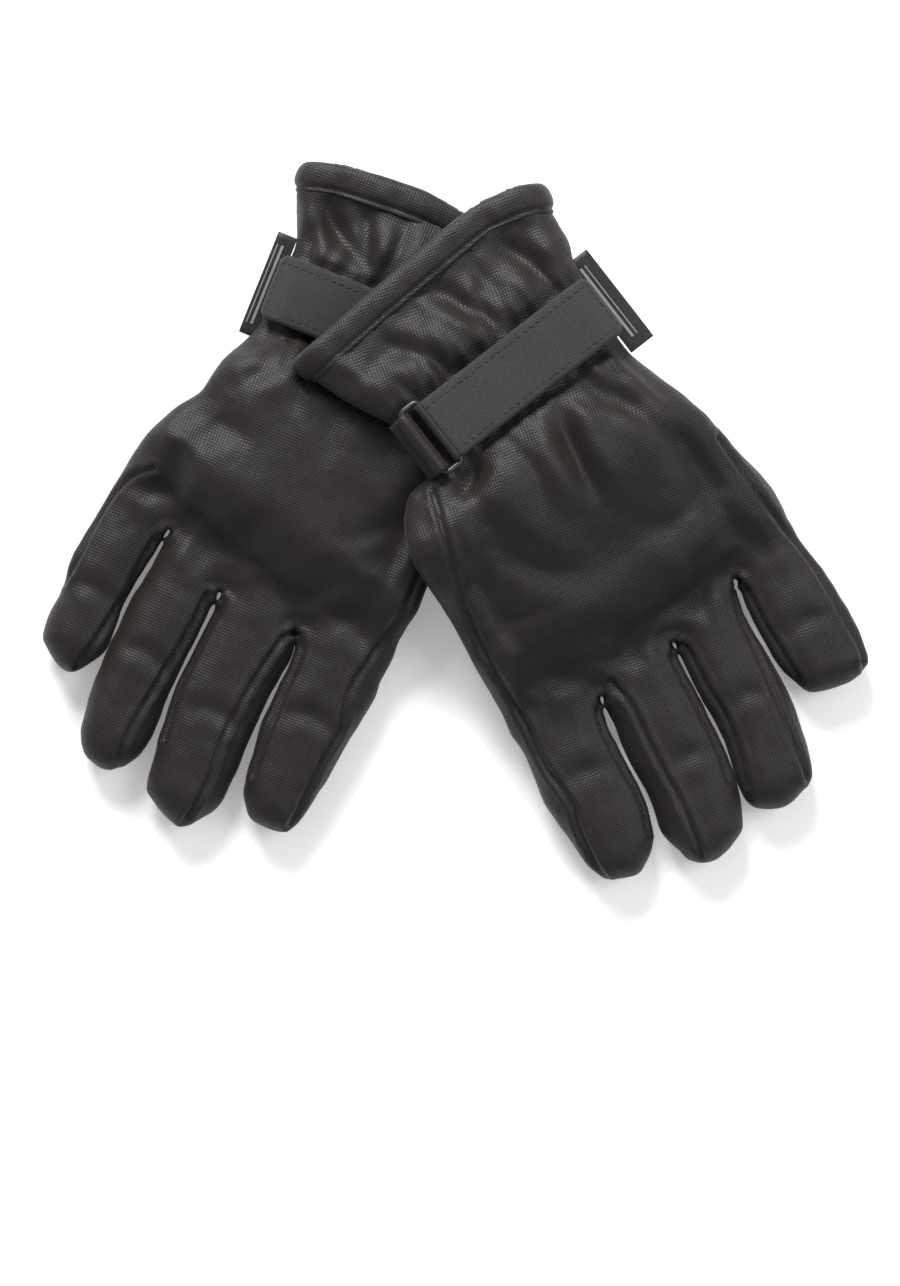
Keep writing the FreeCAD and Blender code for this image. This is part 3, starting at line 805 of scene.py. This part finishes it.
def new_material(name):
    """An empty node material with its shader."""
    material = bpy.data.materials.new(name)
    material.use_nodes = True
    nodes, links = material.node_tree.nodes, material.node_tree.links
    return material, nodes, links, nodes["Principled BSDF"]


def math_node(nodes, links, kind, first, second=None, third=None):
    """One sum on values or on other nodes' results."""
    node = nodes.new("ShaderNodeMath")
    node.operation = kind
    for i, value in enumerate((first, second, third)):
        if value is None:
            continue
        if isinstance(value, (int, float)):
            node.inputs[i].default_value = value
        else:
            links.new(value, node.inputs[i])
    return node.outputs[0]


def noise(nodes, links, place, scale, detail=2.0):
    """Soft random cloudiness at one scale."""
    node = nodes.new("ShaderNodeTexNoise")
    node.inputs["Scale"].default_value = scale
    node.inputs["Detail"].default_value = detail
    links.new(place, node.inputs["Vector"])
    return node


def between(nodes, links, source, low, high):
    """A 0 to 1 result spread between two values."""
    node = nodes.new("ShaderNodeMapRange")
    node.inputs["To Min"].default_value = low
    node.inputs["To Max"].default_value = high
    links.new(source, node.inputs["Value"])
    return node.outputs[0]


def raised(nodes, links, shader, height, strength, distance):
    """Bumps the shader's surface by a height."""
    node = nodes.new("ShaderNodeBump")
    node.inputs["Strength"].default_value = strength
    node.inputs["Distance"].default_value = distance
    links.new(height, node.inputs["Height"])
    links.new(node.outputs[0], shader.inputs["Normal"])


def weave_height(nodes, links, source, pitch):
    """A plain square weave: raised cells between thin sunk lines."""
    split = nodes.new("ShaderNodeSeparateXYZ")
    links.new(source, split.inputs[0])
    waves = []
    for axis in range(2):
        phase = math_node(nodes, links, "MULTIPLY", split.outputs[axis], math.pi / pitch)
        wave = math_node(nodes, links, "ABSOLUTE", math_node(nodes, links, "SINE", phase))
        waves.append(math_node(nodes, links, "POWER", wave, 0.7))
    return math_node(nodes, links, "MULTIPLY", waves[0], waves[1])


def cloth_material(name, colour, pitch=1.1, bump=0.35, sheen=0.08, rough=0.45, uneven=0.25, depth=0.45):
    """Woven cloth: square weave, uneven dye and a soft sheen."""
    material, nodes, links, shader = new_material(name)
    place = nodes.new("ShaderNodeUVMap")
    place.uv_map = "cloth"
    wander = noise(nodes, links, place.outputs[0], 0.25)
    bent = nodes.new("ShaderNodeVectorMath")
    bent.operation = "MULTIPLY_ADD"
    bent.inputs[1].default_value = (0.9, 0.9, 0)
    links.new(wander.outputs["Color"], bent.inputs[0])
    links.new(place.outputs[0], bent.inputs[2])
    height = weave_height(nodes, links, bent.outputs[0], pitch)
    speck = noise(nodes, links, place.outputs[0], 1.6, 3.0).outputs["Fac"]
    broad = noise(nodes, links, place.outputs[0], 0.05, 3.0).outputs["Fac"]
    rise = math_node(nodes, links, "ADD", height, math_node(nodes, links, "MULTIPLY", speck, 0.7))
    raised(nodes, links, shader, rise, bump, 0.00035)
    tone = math_node(nodes, links, "MULTIPLY_ADD", height, depth, 1.0 - depth * 0.55)
    mottle = math_node(nodes, links, "MULTIPLY_ADD", broad, uneven, 1.0 - uneven / 2)
    grain = math_node(nodes, links, "MULTIPLY_ADD", speck, uneven, 1.0 - uneven / 2)
    tone = math_node(nodes, links, "MULTIPLY", math_node(nodes, links, "MULTIPLY", tone, mottle), grain)
    dye = nodes.new("ShaderNodeVectorMath")
    dye.operation = "SCALE"
    dye.inputs[0].default_value = colour
    links.new(tone, dye.inputs["Scale"])
    links.new(dye.outputs[0], shader.inputs["Base Color"])
    shader.inputs["Roughness"].default_value = rough
    shader.inputs["Specular IOR Level"].default_value = 0.29
    shader.inputs["Sheen Weight"].default_value = sheen
    shader.inputs["Sheen Roughness"].default_value = 0.45
    shader.inputs["Sheen Tint"].default_value = (0.9, 0.87, 0.85, 1)
    return material


def thread_material():
    """Twisted black sewing thread."""
    material, nodes, links, shader = new_material("thread")
    place = nodes.new("ShaderNodeTexCoord")
    twist = noise(nodes, links, place.outputs["Object"], 2500.0).outputs["Fac"]
    links.new(between(nodes, links, twist, 0.012, 0.03), shader.inputs["Base Color"])
    shader.inputs["Roughness"].default_value = 0.5
    return material


def plastic_material():
    """Black moulded plastic, glossy, with a faint uneven surface and a few rubbed places."""
    material, nodes, links, shader = new_material("ring_plastic")
    place = nodes.new("ShaderNodeTexCoord")
    wear = noise(nodes, links, place.outputs["Object"], 400.0, 4.0).outputs["Fac"]
    links.new(between(nodes, links, wear, 0.2, 0.45), shader.inputs["Roughness"])
    raised(nodes, links, shader, wear, 0.08, 0.0003)
    links.new(between(nodes, links, wear, 0.012, 0.02), shader.inputs["Base Color"])
    shader.inputs["Specular IOR Level"].default_value = 0.5
    return material


def label_material():
    """Black satin with two plain pale stripes woven along it."""
    colour = (0.012, 0.012, 0.015)
    material = cloth_material("label_satin", colour, pitch=0.4, bump=0.15, sheen=0.05, rough=0.38)
    nodes, links = material.node_tree.nodes, material.node_tree.links
    shader = nodes["Principled BSDF"]
    dyed = shader.inputs["Base Color"].links[0].from_socket
    place = nodes.new("ShaderNodeUVMap")
    place.uv_map = "cloth"
    split = nodes.new("ShaderNodeSeparateXYZ")
    links.new(place.outputs[0], split.inputs[0])
    stripes = []
    for middle, half in ((4.2, 0.5), (6.2, 0.22)):
        away = math_node(nodes, links, "SUBTRACT", split.outputs[0], middle)
        away = math_node(nodes, links, "ABSOLUTE", away)
        stripes.append(math_node(nodes, links, "LESS_THAN", away, half))
    within = math_node(nodes, links, "ABSOLUTE", split.outputs[1])
    within = math_node(nodes, links, "LESS_THAN", within, 16.0)
    both = math_node(nodes, links, "MULTIPLY", math_node(nodes, links, "MAXIMUM", *stripes), within)
    mix = nodes.new("ShaderNodeMix")
    mix.data_type = "RGBA"
    links.new(both, mix.inputs["Factor"])
    links.new(dyed, mix.inputs["A"])
    mix.inputs["B"].default_value = (0.2, 0.2, 0.205, 1)
    links.new(mix.outputs["Result"], shader.inputs["Base Color"])
    return material


SHELL_COLOUR = (0.0128, 0.0105, 0.0092)
STRAP_COLOUR = (0.026, 0.0247, 0.0242)
MATERIALS = {
    "shell": cloth_material("shell_fabric", SHELL_COLOUR),
    "lining": cloth_material("lining_knit", (0.03, 0.03, 0.031), pitch=1.6, bump=0.6, sheen=0.6, rough=0.9),
    "strap": cloth_material("strap_cloth", STRAP_COLOUR, pitch=0.7, bump=0.45, uneven=0.45, rough=0.58),
    "hook": cloth_material("hook_tape", (0.018, 0.018, 0.018), pitch=1.3, bump=1.0, sheen=0.0, rough=0.55),
    "loop": cloth_material("loop_tape", (0.025, 0.025, 0.026), pitch=0.9, bump=1.0, sheen=0.8, rough=0.95),
    "label": label_material(),
    "thread": thread_material(),
    "ring": plastic_material(),
}


# Fabric pieces ----------------------------------------------------------------------------------


def in_plan(glove, p):
    """The pair's frame in metres back to a glove's plan in millimetres."""
    turn = math.radians(glove["turn"])
    x, y = p[:, 0] * 1000 - glove["at"][0], p[:, 1] * 1000 - glove["at"][1]
    u = x * math.cos(turn) + y * math.sin(turn)
    return (-u if glove["mirror"] else u), y * math.cos(turn) - x * math.sin(turn)


def upper_underside():
    """Height of the upper glove's underside over its plan; far up where there is no glove."""
    polygon = hand_polygon(LEFT)
    low, high = polygon.min(0) - 3, polygon.max(0) + 3
    low[1] = LEFT["shell_start"]
    pillow = Pillow(LEFT, polygon, low, high, step=2.0)
    over = np.clip(RIM - pillow.depth, 0, RIM) / RIM
    under = pillow.middle - pillow.half * np.sqrt(1 - over**2)
    return pillow.us, pillow.vs, np.where((pillow.depth > 0) & (pillow.hem > -1), under, 500.0)


def settled(glove, points):
    """Keeps the cloth on the table, and the lower glove's cloth pressed under the upper glove."""
    if glove is RIGHT:
        us, vs, under = UNDERSIDE
        u, v = in_plan(LEFT, placed(glove, points))
        points[:, 2] = np.minimum(points[:, 2], sampled(under, us, vs, u, v) - 1.0)
    points[:, 2] = np.maximum(points[:, 2], 0.1)
    return points


def shaped(glove, points, faces, inner=None):
    """Adds the cloth's relief to a padded shape."""
    normals = point_normals(points, faces)
    move = relief(glove, points, normals[:, 2])
    if inner is not None:
        sunk = np.clip(relief(glove, points, np.abs(normals[:, 2])) + 1.2, -3.2, 0) * (normals[:, 2] < 0)
        move = np.where(inner, 0.15 * ripple(points[:, 0], points[:, 1], 6, 3) - sunk, move)
    return settled(glove, points + normals * move[:, None])


def inner_points(pillow, points):
    """Which points belong to the inside of the hollow cuff."""
    depth, middle, half = pillow.under(points)
    outer = pillow.value(depth, middle, half, points[:, 2])
    inner = pillow.value(depth, middle, half, points[:, 2], WALL)
    return np.abs(inner) < np.abs(outer) * 0.8


def hand_shell(glove):
    """The padded hand and cuff, hollow at the wrist, with a closed stub at each finger."""
    polygon = hand_polygon(glove)
    low, high = polygon.min(0) - 3, polygon.max(0) + 3
    low[1] = glove["shell_start"]
    pillow = Pillow(glove, polygon, low, high)
    points, faces = pillow.mesh((4.0, 400.0))
    inner = inner_points(pillow, points)
    points = shaped(glove, points, faces, inner)
    face_inner = inner[faces].mean(1) > 0.5
    piece = make_piece(glove, f"{glove['name']}_shell", points, faces,
                       [MATERIALS["shell"], MATERIALS["lining"]], face_material=face_inner.astype(int))
    for finger in FINGERS:
        cut_back(glove, piece, finger, False)
    return piece


def hem_relief(glove, points, normals):
    """The turned hem: puckers along its inner stitch line, edges rolled."""
    hem = points[:, 1] - hem_line(glove, points[:, 0])
    place = points[:, 0] + 0.3 * points[:, 2]
    line = np.exp(-(((hem - HEM_SEAM) / 0.8) ** 2))
    puff = 1.1 * np.sin(np.clip(hem / HEM_SEAM, 0, 1) * math.pi) ** 0.7
    pucker = 0.55 * ripple(place, hem * 0.12, 5.2, glove["seed"] + 7) * np.exp(-(((hem - 7.5) / 4.5) ** 2))
    wide = 0.5 * ripple(place, hem * 0.3, 14, glove["seed"])
    return puff - 0.7 * line + pucker + wide


def hem_band(glove):
    """The turned hem round the mouth of the cuff."""
    polygon = hand_polygon(glove)
    low, high = polygon.min(0) - 4, polygon.max(0) + 4
    low[1], high[1] = glove["hem_span"]
    pillow = Pillow(glove, polygon, low, high, grow=0.7, step=0.8)
    points, faces = pillow.mesh((0.0, HEM_WIDTH))
    inner = inner_points(pillow, points)
    points = evened(points, faces, 3)
    normals = point_normals(points, faces)
    points = points + normals * np.where(inner, 0.4, hem_relief(glove, points, normals))[:, None]
    points = settled(glove, points)
    face_inner = inner[faces].mean(1) > 0.7
    piece = make_piece(glove, f"{glove['name']}_hem", points, faces,
                       [MATERIALS["shell"], MATERIALS["lining"]], face_material=face_inner.astype(int))
    return piece, points, normals


def finger_piece(glove, finger):
    """One padded finger from its cut to its tip."""
    polygon = finger_polygon(glove, finger)
    low, high = polygon.min(0) - 3, polygon.max(0) + 3
    pillow = Pillow(glove, polygon, low, high)
    points, faces = pillow.mesh()
    points = shaped(glove, points, faces)
    piece = make_piece(glove, f"{glove['name']}_{finger}_finger", points, faces, [MATERIALS["shell"]])
    return cut_back(glove, piece, finger, True)


def thumb_piece(glove):
    """The flat thumb tucked under the palm."""
    base, turn, pitch, height = glove["thumb"]
    count_a, count_t = 40, 48
    points = []
    for i in range(count_a + 1):
        share = i / count_a
        s = -14 + 52 * share
        near = min(share, 1 - share) * 52
        round_over = math.sqrt(max(1 - (max(12 - near, 0) / 12) ** 2, 0.0))
        for j in range(count_t):
            angle = 2 * math.pi * j / count_t
            c, n = math.cos(angle), math.sin(angle)
            across = 13.0 * round_over * math.copysign(abs(c) ** 0.8, c)
            up = 5.4 * round_over * math.copysign(abs(n) ** 0.8, n) + 5.6
            points.append((across, s, up + 0.25 * math.sin(s * 0.7 + angle * 3) * round_over))
    p = np.array(points)
    tilt, angle = math.radians(pitch), math.radians(turn)
    y = p[:, 1] * math.cos(tilt) + p[:, 2] * math.sin(tilt)
    z = -p[:, 1] * math.sin(tilt) + p[:, 2] * math.cos(tilt)
    u = p[:, 0] * math.cos(angle) + y * math.sin(angle) + base[0]
    v = -p[:, 0] * math.sin(angle) + y * math.cos(angle) + base[1]
    points = np.stack([u, v, np.maximum(z + height, 0.1)], 1)
    faces = np.roll(tube_faces(count_a + 1, count_t), -1, axis=1)
    return make_piece(glove, f"{glove['name']}_thumb", points, faces, [MATERIALS["shell"]])


# Strap, ring and trim ---------------------------------------------------------------------------


def wrist_path(start, end, lift):
    """Centre line of a layer of tape that lies over the wrist, between two places along it."""
    path = []
    for x in np.linspace(start, end, max(3, int(abs(end - start) / 1.5) + 1)):
        beyond = abs(x) - FLAT_HALF
        if beyond <= 0:
            path.append((x, lift))
        else:
            radius = SIDE_RADIUS + lift
            angle = min(beyond / radius, 1.35)
            out = math.copysign(FLAT_HALF + radius * math.sin(angle), x)
            path.append((out, radius * math.cos(angle) - SIDE_RADIUS))
    return path


def ribbon(glove, name, path, width, thick, material, taper=0.0, wave=0.0):
    """A strip of tape along a path in the strap's frame, with rounded edges and closed ends."""
    path = smooth_line(path, 1.0)
    tangent = np.gradient(path, axis=0)
    tangent /= np.linalg.norm(tangent, axis=1)[:, None]
    normal = np.stack([-tangent[:, 1], tangent[:, 0]], 1)
    length = np.concatenate([[0], np.cumsum(np.hypot(*np.diff(path, axis=0).T))])
    across = np.linspace(-1, 1, 21)
    ring = [(a, 1.0) for a in across[1:-1]] + [(1.0, 0.5), (1.004, 0.0), (1.0, -0.5)]
    ring += [(a, -1.0) for a in across[1:-1][::-1]] + [(-1.0, -0.5), (-1.004, 0.0), (-1.0, 0.5)]
    count = len(ring)
    points, coords = [], []
    for k, (centre, up, s) in enumerate(zip(path, normal, length)):
        left = length[-1] - s
        half = width / 2 - (taper * (1 - left / taper) if left < taper else 0.0)
        thin = 0.55 if k in (0, len(path) - 1) else 1.0
        for a, h in ring:
            bend = wave * math.sin(s * 0.35 + a * 1.3) * (abs(a) ** 2)
            offset = h * thick / 2 * thin + bend
            y = a * half
            points.append((centre[0] + up[0] * offset, y, centre[1] + up[1] * offset))
            coords.append((s, y + (0 if h > 0 else 60)))
    faces = tube_faces(len(path), count)
    points = on_strap(glove, points)
    coords = np.array(coords)
    piece = make_piece(glove, name, points, faces, [material], uv=coords[faces])
    bm = bmesh.new()
    bm.from_mesh(piece.data)
    close_rims(bm)
    bmesh.ops.recalc_face_normals(bm, faces=bm.faces)
    bm.to_mesh(piece.data)
    bm.free()
    return piece


def fold_path(x, radius, start, end, count=14):
    """Part of a turn round one of the ring's bars, by angle in degrees."""
    return [
        (x + radius * math.cos(math.radians(a)), BAR_HEIGHT + radius * math.sin(math.radians(a)))
        for a in np.linspace(start, end, count)
    ]


def strap_base(glove):
    """The strap's lower run across the wrist and its fold round the ring's bar."""
    path = wrist_path(46.5, -30.0, BASE_LIFT)[:-1] + fold_path(-31.8, 2.05, 270, 90)
    return ribbon(glove, f"{glove['name']}_strap_base", path, STRAP_WIDTH, 1.1, MATERIALS["strap"])


def top_path():
    """Centre line of the strap's upper run, from the ring's bar to its free end."""
    return [(-31.6, TOP_LIFT)] + wrist_path(-29.5, 47.5, TOP_LIFT)


def strap_top(glove):
    """The strap's upper run with its free end, corners clipped."""
    return ribbon(glove, f"{glove['name']}_strap", top_path(), STRAP_WIDTH, 1.2, MATERIALS["strap"],
                  taper=2.5, wave=0.15)


def keeper_tab(glove):
    """The tab that holds the ring: up from the side of the wrist and round the ring's other bar."""
    path = wrist_path(-47.0, -42.0, 0.6) + fold_path(-40.4, 2.3, 262, 450 + 120, 26)
    return ribbon(glove, f"{glove['name']}_keeper_tab", path, 25.5, 1.5, MATERIALS["shell"])


def ring_piece(glove):
    """The moulded rectangular ring."""
    half_x, half_y, corner = 4.3, 14.1, 2.6
    path = []
    for cx, cy, start in ((1, 1, 0), (-1, 1, 90), (-1, -1, 180), (1, -1, 270)):
        for a in np.linspace(start, start + 90, 7):
            path.append((RING_MIDDLE + cx * (half_x - corner) + corner * math.cos(math.radians(a)),
                         cy * (half_y - corner) + corner * math.sin(math.radians(a))))
    path = np.array(path)
    nxt = np.roll(path, -1, 0) - np.roll(path, 1, 0)
    nxt /= np.linalg.norm(nxt, axis=1)[:, None]
    out = np.stack([nxt[:, 1], -nxt[:, 0]], 1)
    count = 14
    points = []
    for centre, way in zip(path, out):
        for j in range(count):
            a = 2 * math.pi * j / count
            points.append((centre[0] + way[0] * 1.1 * math.cos(a), centre[1] + way[1] * 1.1 * math.cos(a),
                           BAR_HEIGHT + 0.9 * math.sin(a)))
    faces = tube_faces(len(path), count, closed=True)[:, ::-1]
    return make_piece(glove, f"{glove['name']}_ring_loop", on_strap(glove, points), faces,
                      [MATERIALS["ring"]])


def label_path(glove):
    """The label's way out of the seam, round its fold and back in."""
    out = glove["label_out"]
    return [(44.5, -8.3), (46 + out * 0.5, -8.15), (46 + out - 0.6, -8.35), (46 + out, -8.75),
            (46 + out - 0.6, -9.1), (46 + out * 0.5, -9.25), (44.5, -9.2)]


def label_piece(glove):
    """The satin label folded into the side seam, left bare."""
    path = label_path(glove)
    return ribbon(glove, f"{glove['name']}_label", path, LABEL_WIDTH, 0.35, MATERIALS["label"], wave=0.1)


# Stitches ---------------------------------------------------------------------------------------


def stitch_tree():
    """Sets short rounded stitches at even steps along every line of a mesh."""
    tree = bpy.data.node_groups.new("stitches", "GeometryNodeTree")
    tree.interface.new_socket("Geometry", in_out="INPUT", socket_type="NodeSocketGeometry")
    pitch = tree.interface.new_socket("Pitch", in_out="INPUT", socket_type="NodeSocketFloat")
    length = tree.interface.new_socket("Length", in_out="INPUT", socket_type="NodeSocketFloat")
    tree.interface.new_socket("Geometry", in_out="OUTPUT", socket_type="NodeSocketGeometry")
    nodes, links = tree.nodes, tree.links
    start, end = nodes.new("NodeGroupInput"), nodes.new("NodeGroupOutput")
    curve = nodes.new("GeometryNodeMeshToCurve")
    spots = nodes.new("GeometryNodeCurveToPoints")
    spots.mode = "LENGTH"
    bead = nodes.new("GeometryNodeMeshUVSphere")
    bead.inputs["Segments"].default_value = 6
    bead.inputs["Rings"].default_value = 4
    bead.inputs["Radius"].default_value = 0.5
    size = nodes.new("ShaderNodeCombineXYZ")
    size.inputs[0].default_value = 0.00055
    size.inputs[1].default_value = 0.00055
    put = nodes.new("GeometryNodeInstanceOnPoints")
    real = nodes.new("GeometryNodeRealizeInstances")
    colour = nodes.new("GeometryNodeSetMaterial")
    colour.inputs["Material"].default_value = MATERIALS["thread"]
    links.new(start.outputs[0], curve.inputs[0])
    links.new(curve.outputs[0], spots.inputs[0])
    links.new(start.outputs["Pitch"], spots.inputs["Length"])
    links.new(start.outputs["Length"], size.inputs[2])
    links.new(spots.outputs["Points"], put.inputs["Points"])
    links.new(bead.outputs[0], put.inputs["Instance"])
    links.new(spots.outputs["Rotation"], put.inputs["Rotation"])
    links.new(size.outputs[0], put.inputs["Scale"])
    links.new(put.outputs[0], real.inputs[0])
    links.new(real.outputs[0], colour.inputs[0])
    links.new(colour.outputs[0], end.inputs[0])
    return tree, pitch.identifier, length.identifier


STITCHES, PITCH_SOCKET, LENGTH_SOCKET = stitch_tree()


def stitches(glove, name, lines, pitch=3.0, length=2.1):
    """Thread along lines given in glove plan millimetres, as one plain mesh."""
    verts, edges = [], []
    for line in lines:
        first = len(verts)
        verts += list(map(tuple, placed(glove, line)))
        edges += [(i, i + 1) for i in range(first, len(verts) - 1)]
    mesh = bpy.data.meshes.new(name + "_lines")
    mesh.from_pydata(verts, edges, [])
    holder = linked(name + "_lines", mesh)
    modifier = holder.modifiers.new("stitches", "NODES")
    modifier.node_group = STITCHES
    modifier[PITCH_SOCKET] = pitch / 1000
    modifier[LENGTH_SOCKET] = length / 1000
    holder.update_tag()
    bpy.context.view_layer.update()
    made = bpy.data.meshes.new_from_object(holder.evaluated_get(bpy.context.evaluated_depsgraph_get()))
    made.name = name
    bpy.data.objects.remove(holder)
    return linked(name, made)


def hem_stitches(glove, points, normals):
    """The hem's topstitch, laid on the hem band's own surface, above and below."""
    lines = []
    hem = points[:, 1] - hem_line(glove, points[:, 0])
    for side in (1, -1):
        near = (np.abs(hem - HEM_SEAM) < 1.2) & (normals[:, 2] * side > 0.25)
        p = points[near]
        order = np.arange(p[:, 0].min() + 3, p[:, 0].max() - 3, 1.2)
        line = []
        for u in order:
            v = float(hem_line(glove, u)) + HEM_SEAM
            gap = (p[:, 0] - u) ** 2 + (p[:, 1] - v) ** 2
            z = p[np.argsort(gap)[:4], 2].mean()
            line.append((u, v, z + 0.15 * side))
        lines.append(np.array(line))
    return stitches(glove, f"{glove['name']}_hem_stitches", lines)


def strap_stitches(glove):
    """The black line of stitching 3 mm inside the strap's edges, round its free end."""
    path = smooth_line(top_path(), 1.0)
    tangent = np.gradient(path, axis=0)
    tangent /= np.linalg.norm(tangent, axis=1)[:, None]
    top = path + np.stack([-tangent[:, 1], tangent[:, 0]], 1) * 0.68
    top = top[2:-3]
    edge = 9.7
    line = [(x, edge, z) for x, z in top]
    line += [(top[-1][0], y, top[-1][1]) for y in np.linspace(edge - 1, 1 - edge, 12)]
    line += [(x, -edge, z) for x, z in top[::-1]]
    return stitches(glove, f"{glove['name']}_strap_stitches", [on_strap(glove, line)])


def keeper_stitches(glove):
    """Two short lines of stitches across the keeper tab's ends."""
    lines = []
    for y in (-9.8, 9.8):
        arc = fold_path(-40.2, 2.85, 60, 150, 8)
        lines.append(on_strap(glove, [(x, y, z) for x, z in arc]))
    return stitches(glove, f"{glove['name']}_keeper_stitches", lines, 2.6, 1.8)


# Building the pair ------------------------------------------------------------------------------


def build_hand(glove):
    """The hand, hem and fingers of one glove."""
    side = glove["name"]
    shell = hand_shell(glove)
    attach(shell, f"{side}_hand")
    layers = ("back_panel", "palm_panel", "insulation", "lining", "wrist_elastic")
    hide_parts(*(f"{side}_{n}" for n in layers))
    hem, points, normals = hem_band(glove)
    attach(hem, f"{side}_hand")
    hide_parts(f"{side}_hem_band")
    thread = hem_stitches(glove, points, normals)
    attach(thread, f"{side}_hand")
    for finger in FINGERS:
        piece = finger_piece(glove, finger)
        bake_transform(piece)
        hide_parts(*(f"{side}_{finger}_{n}" for n in ("back", "palm", "liner")))
    thumb = thumb_piece(glove)
    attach(thumb, f"{side}_thumb")
    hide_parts(*(f"{side}_thumb_{n}" for n in ("back", "palm", "liner")))


def build_strap(glove):
    """The wrist strap, its ring and keeper, the patches and the label of one glove."""
    side = glove["name"]
    base = strap_base(glove)
    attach(base, f"{side}_hand")
    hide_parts(f"{side}_strap_base")
    top, thread = strap_top(glove), strap_stitches(glove)
    for piece in (top, thread):
        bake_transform(piece)
    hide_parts(f"{side}_strap", f"{side}_strap_end")
    keeper, keeper_thread = keeper_tab(glove), keeper_stitches(glove)
    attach(keeper, f"{side}_hand")
    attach(keeper_thread, f"{side}_hand")
    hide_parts(f"{side}_keeper_tab")
    ring = ring_piece(glove)
    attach(ring, f"{side}_strap_ring")
    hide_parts(f"{side}_ring")
    path = wrist_path(25.5, 45.0, HOOK_LIFT)
    hook = ribbon(glove, f"{side}_hook_tape", path, TAPE_WIDTH, 1.3, MATERIALS["hook"])
    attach(hook, f"{side}_strap_end")
    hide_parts(f"{side}_hook_patch")
    path = wrist_path(-1.0, 45.0, LOOP_LIFT)
    loop = ribbon(glove, f"{side}_loop_tape", path, TAPE_WIDTH, 1.2, MATERIALS["loop"])
    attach(loop, f"{side}_hand")
    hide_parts(f"{side}_loop_patch")
    label = label_piece(glove)
    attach(label, f"{side}_hand")
    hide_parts(f"{side}_label")


UNDERSIDE = upper_underside()
for glove in GLOVES:
    glove["swell"] = simulated_swell(glove)
    build_hand(glove)
    build_strap(glove)


# Room, light and camera -------------------------------------------------------------------------


def floor_piece():
    """A plain pale floor."""
    mesh = bpy.data.meshes.new("floor")
    mesh.from_pydata([(-3, -3, 0), (3, -3, 0), (3, 3, 0), (-3, 3, 0)], [], [(0, 1, 2, 3)])
    material, nodes, links, shader = new_material("floor")
    shader.inputs["Base Color"].default_value = (0.92, 0.92, 0.92, 1)
    shader.inputs["Roughness"].default_value = 0.9
    seen = nodes.new("ShaderNodeLightPath").outputs["Is Camera Ray"]
    shader.inputs["Emission Color"].default_value = (1, 1, 1, 1)
    links.new(math_node(nodes, links, "MULTIPLY", seen, 0.22), shader.inputs["Emission Strength"])
    mesh.materials.append(material)
    return linked("floor", mesh)


def lamp(name, place, size, power, aim=(0, -0.045, 0)):
    """A soft square lamp aimed at the gloves."""
    data = bpy.data.lights.new(name, "AREA")
    data.shape = "SQUARE"
    data.size = size
    data.energy = power
    light = linked(name, data)
    light.location = place
    way = np.array(aim) - np.array(place)
    light.rotation_euler = Vector(way).to_track_quat("-Z", "Y").to_euler()


def studio():
    """Soft even studio light and a camera straight above."""
    floor_piece()
    world = bpy.data.worlds.new("studio")
    world.use_nodes = True
    sky = world.node_tree.nodes["Background"]
    sky.inputs[0].default_value = (1, 1, 1, 1)
    sky.inputs[1].default_value = 0.45
    bpy.context.scene.world = world
    lamp("key", (-0.35, 1.25, 0.95), 0.6, 34)
    lamp("fill", (1.0, 0.2, 1.2), 0.8, 9)
    bpy.context.scene.view_settings.view_transform = "Standard"
    data = bpy.data.cameras.new("camera")
    data.lens = 36 * 1.48 / 0.4887
    camera = linked("camera", data)
    camera.location = (0.0002, -0.0452, 1.5)
    bpy.context.scene.camera = camera


studio()
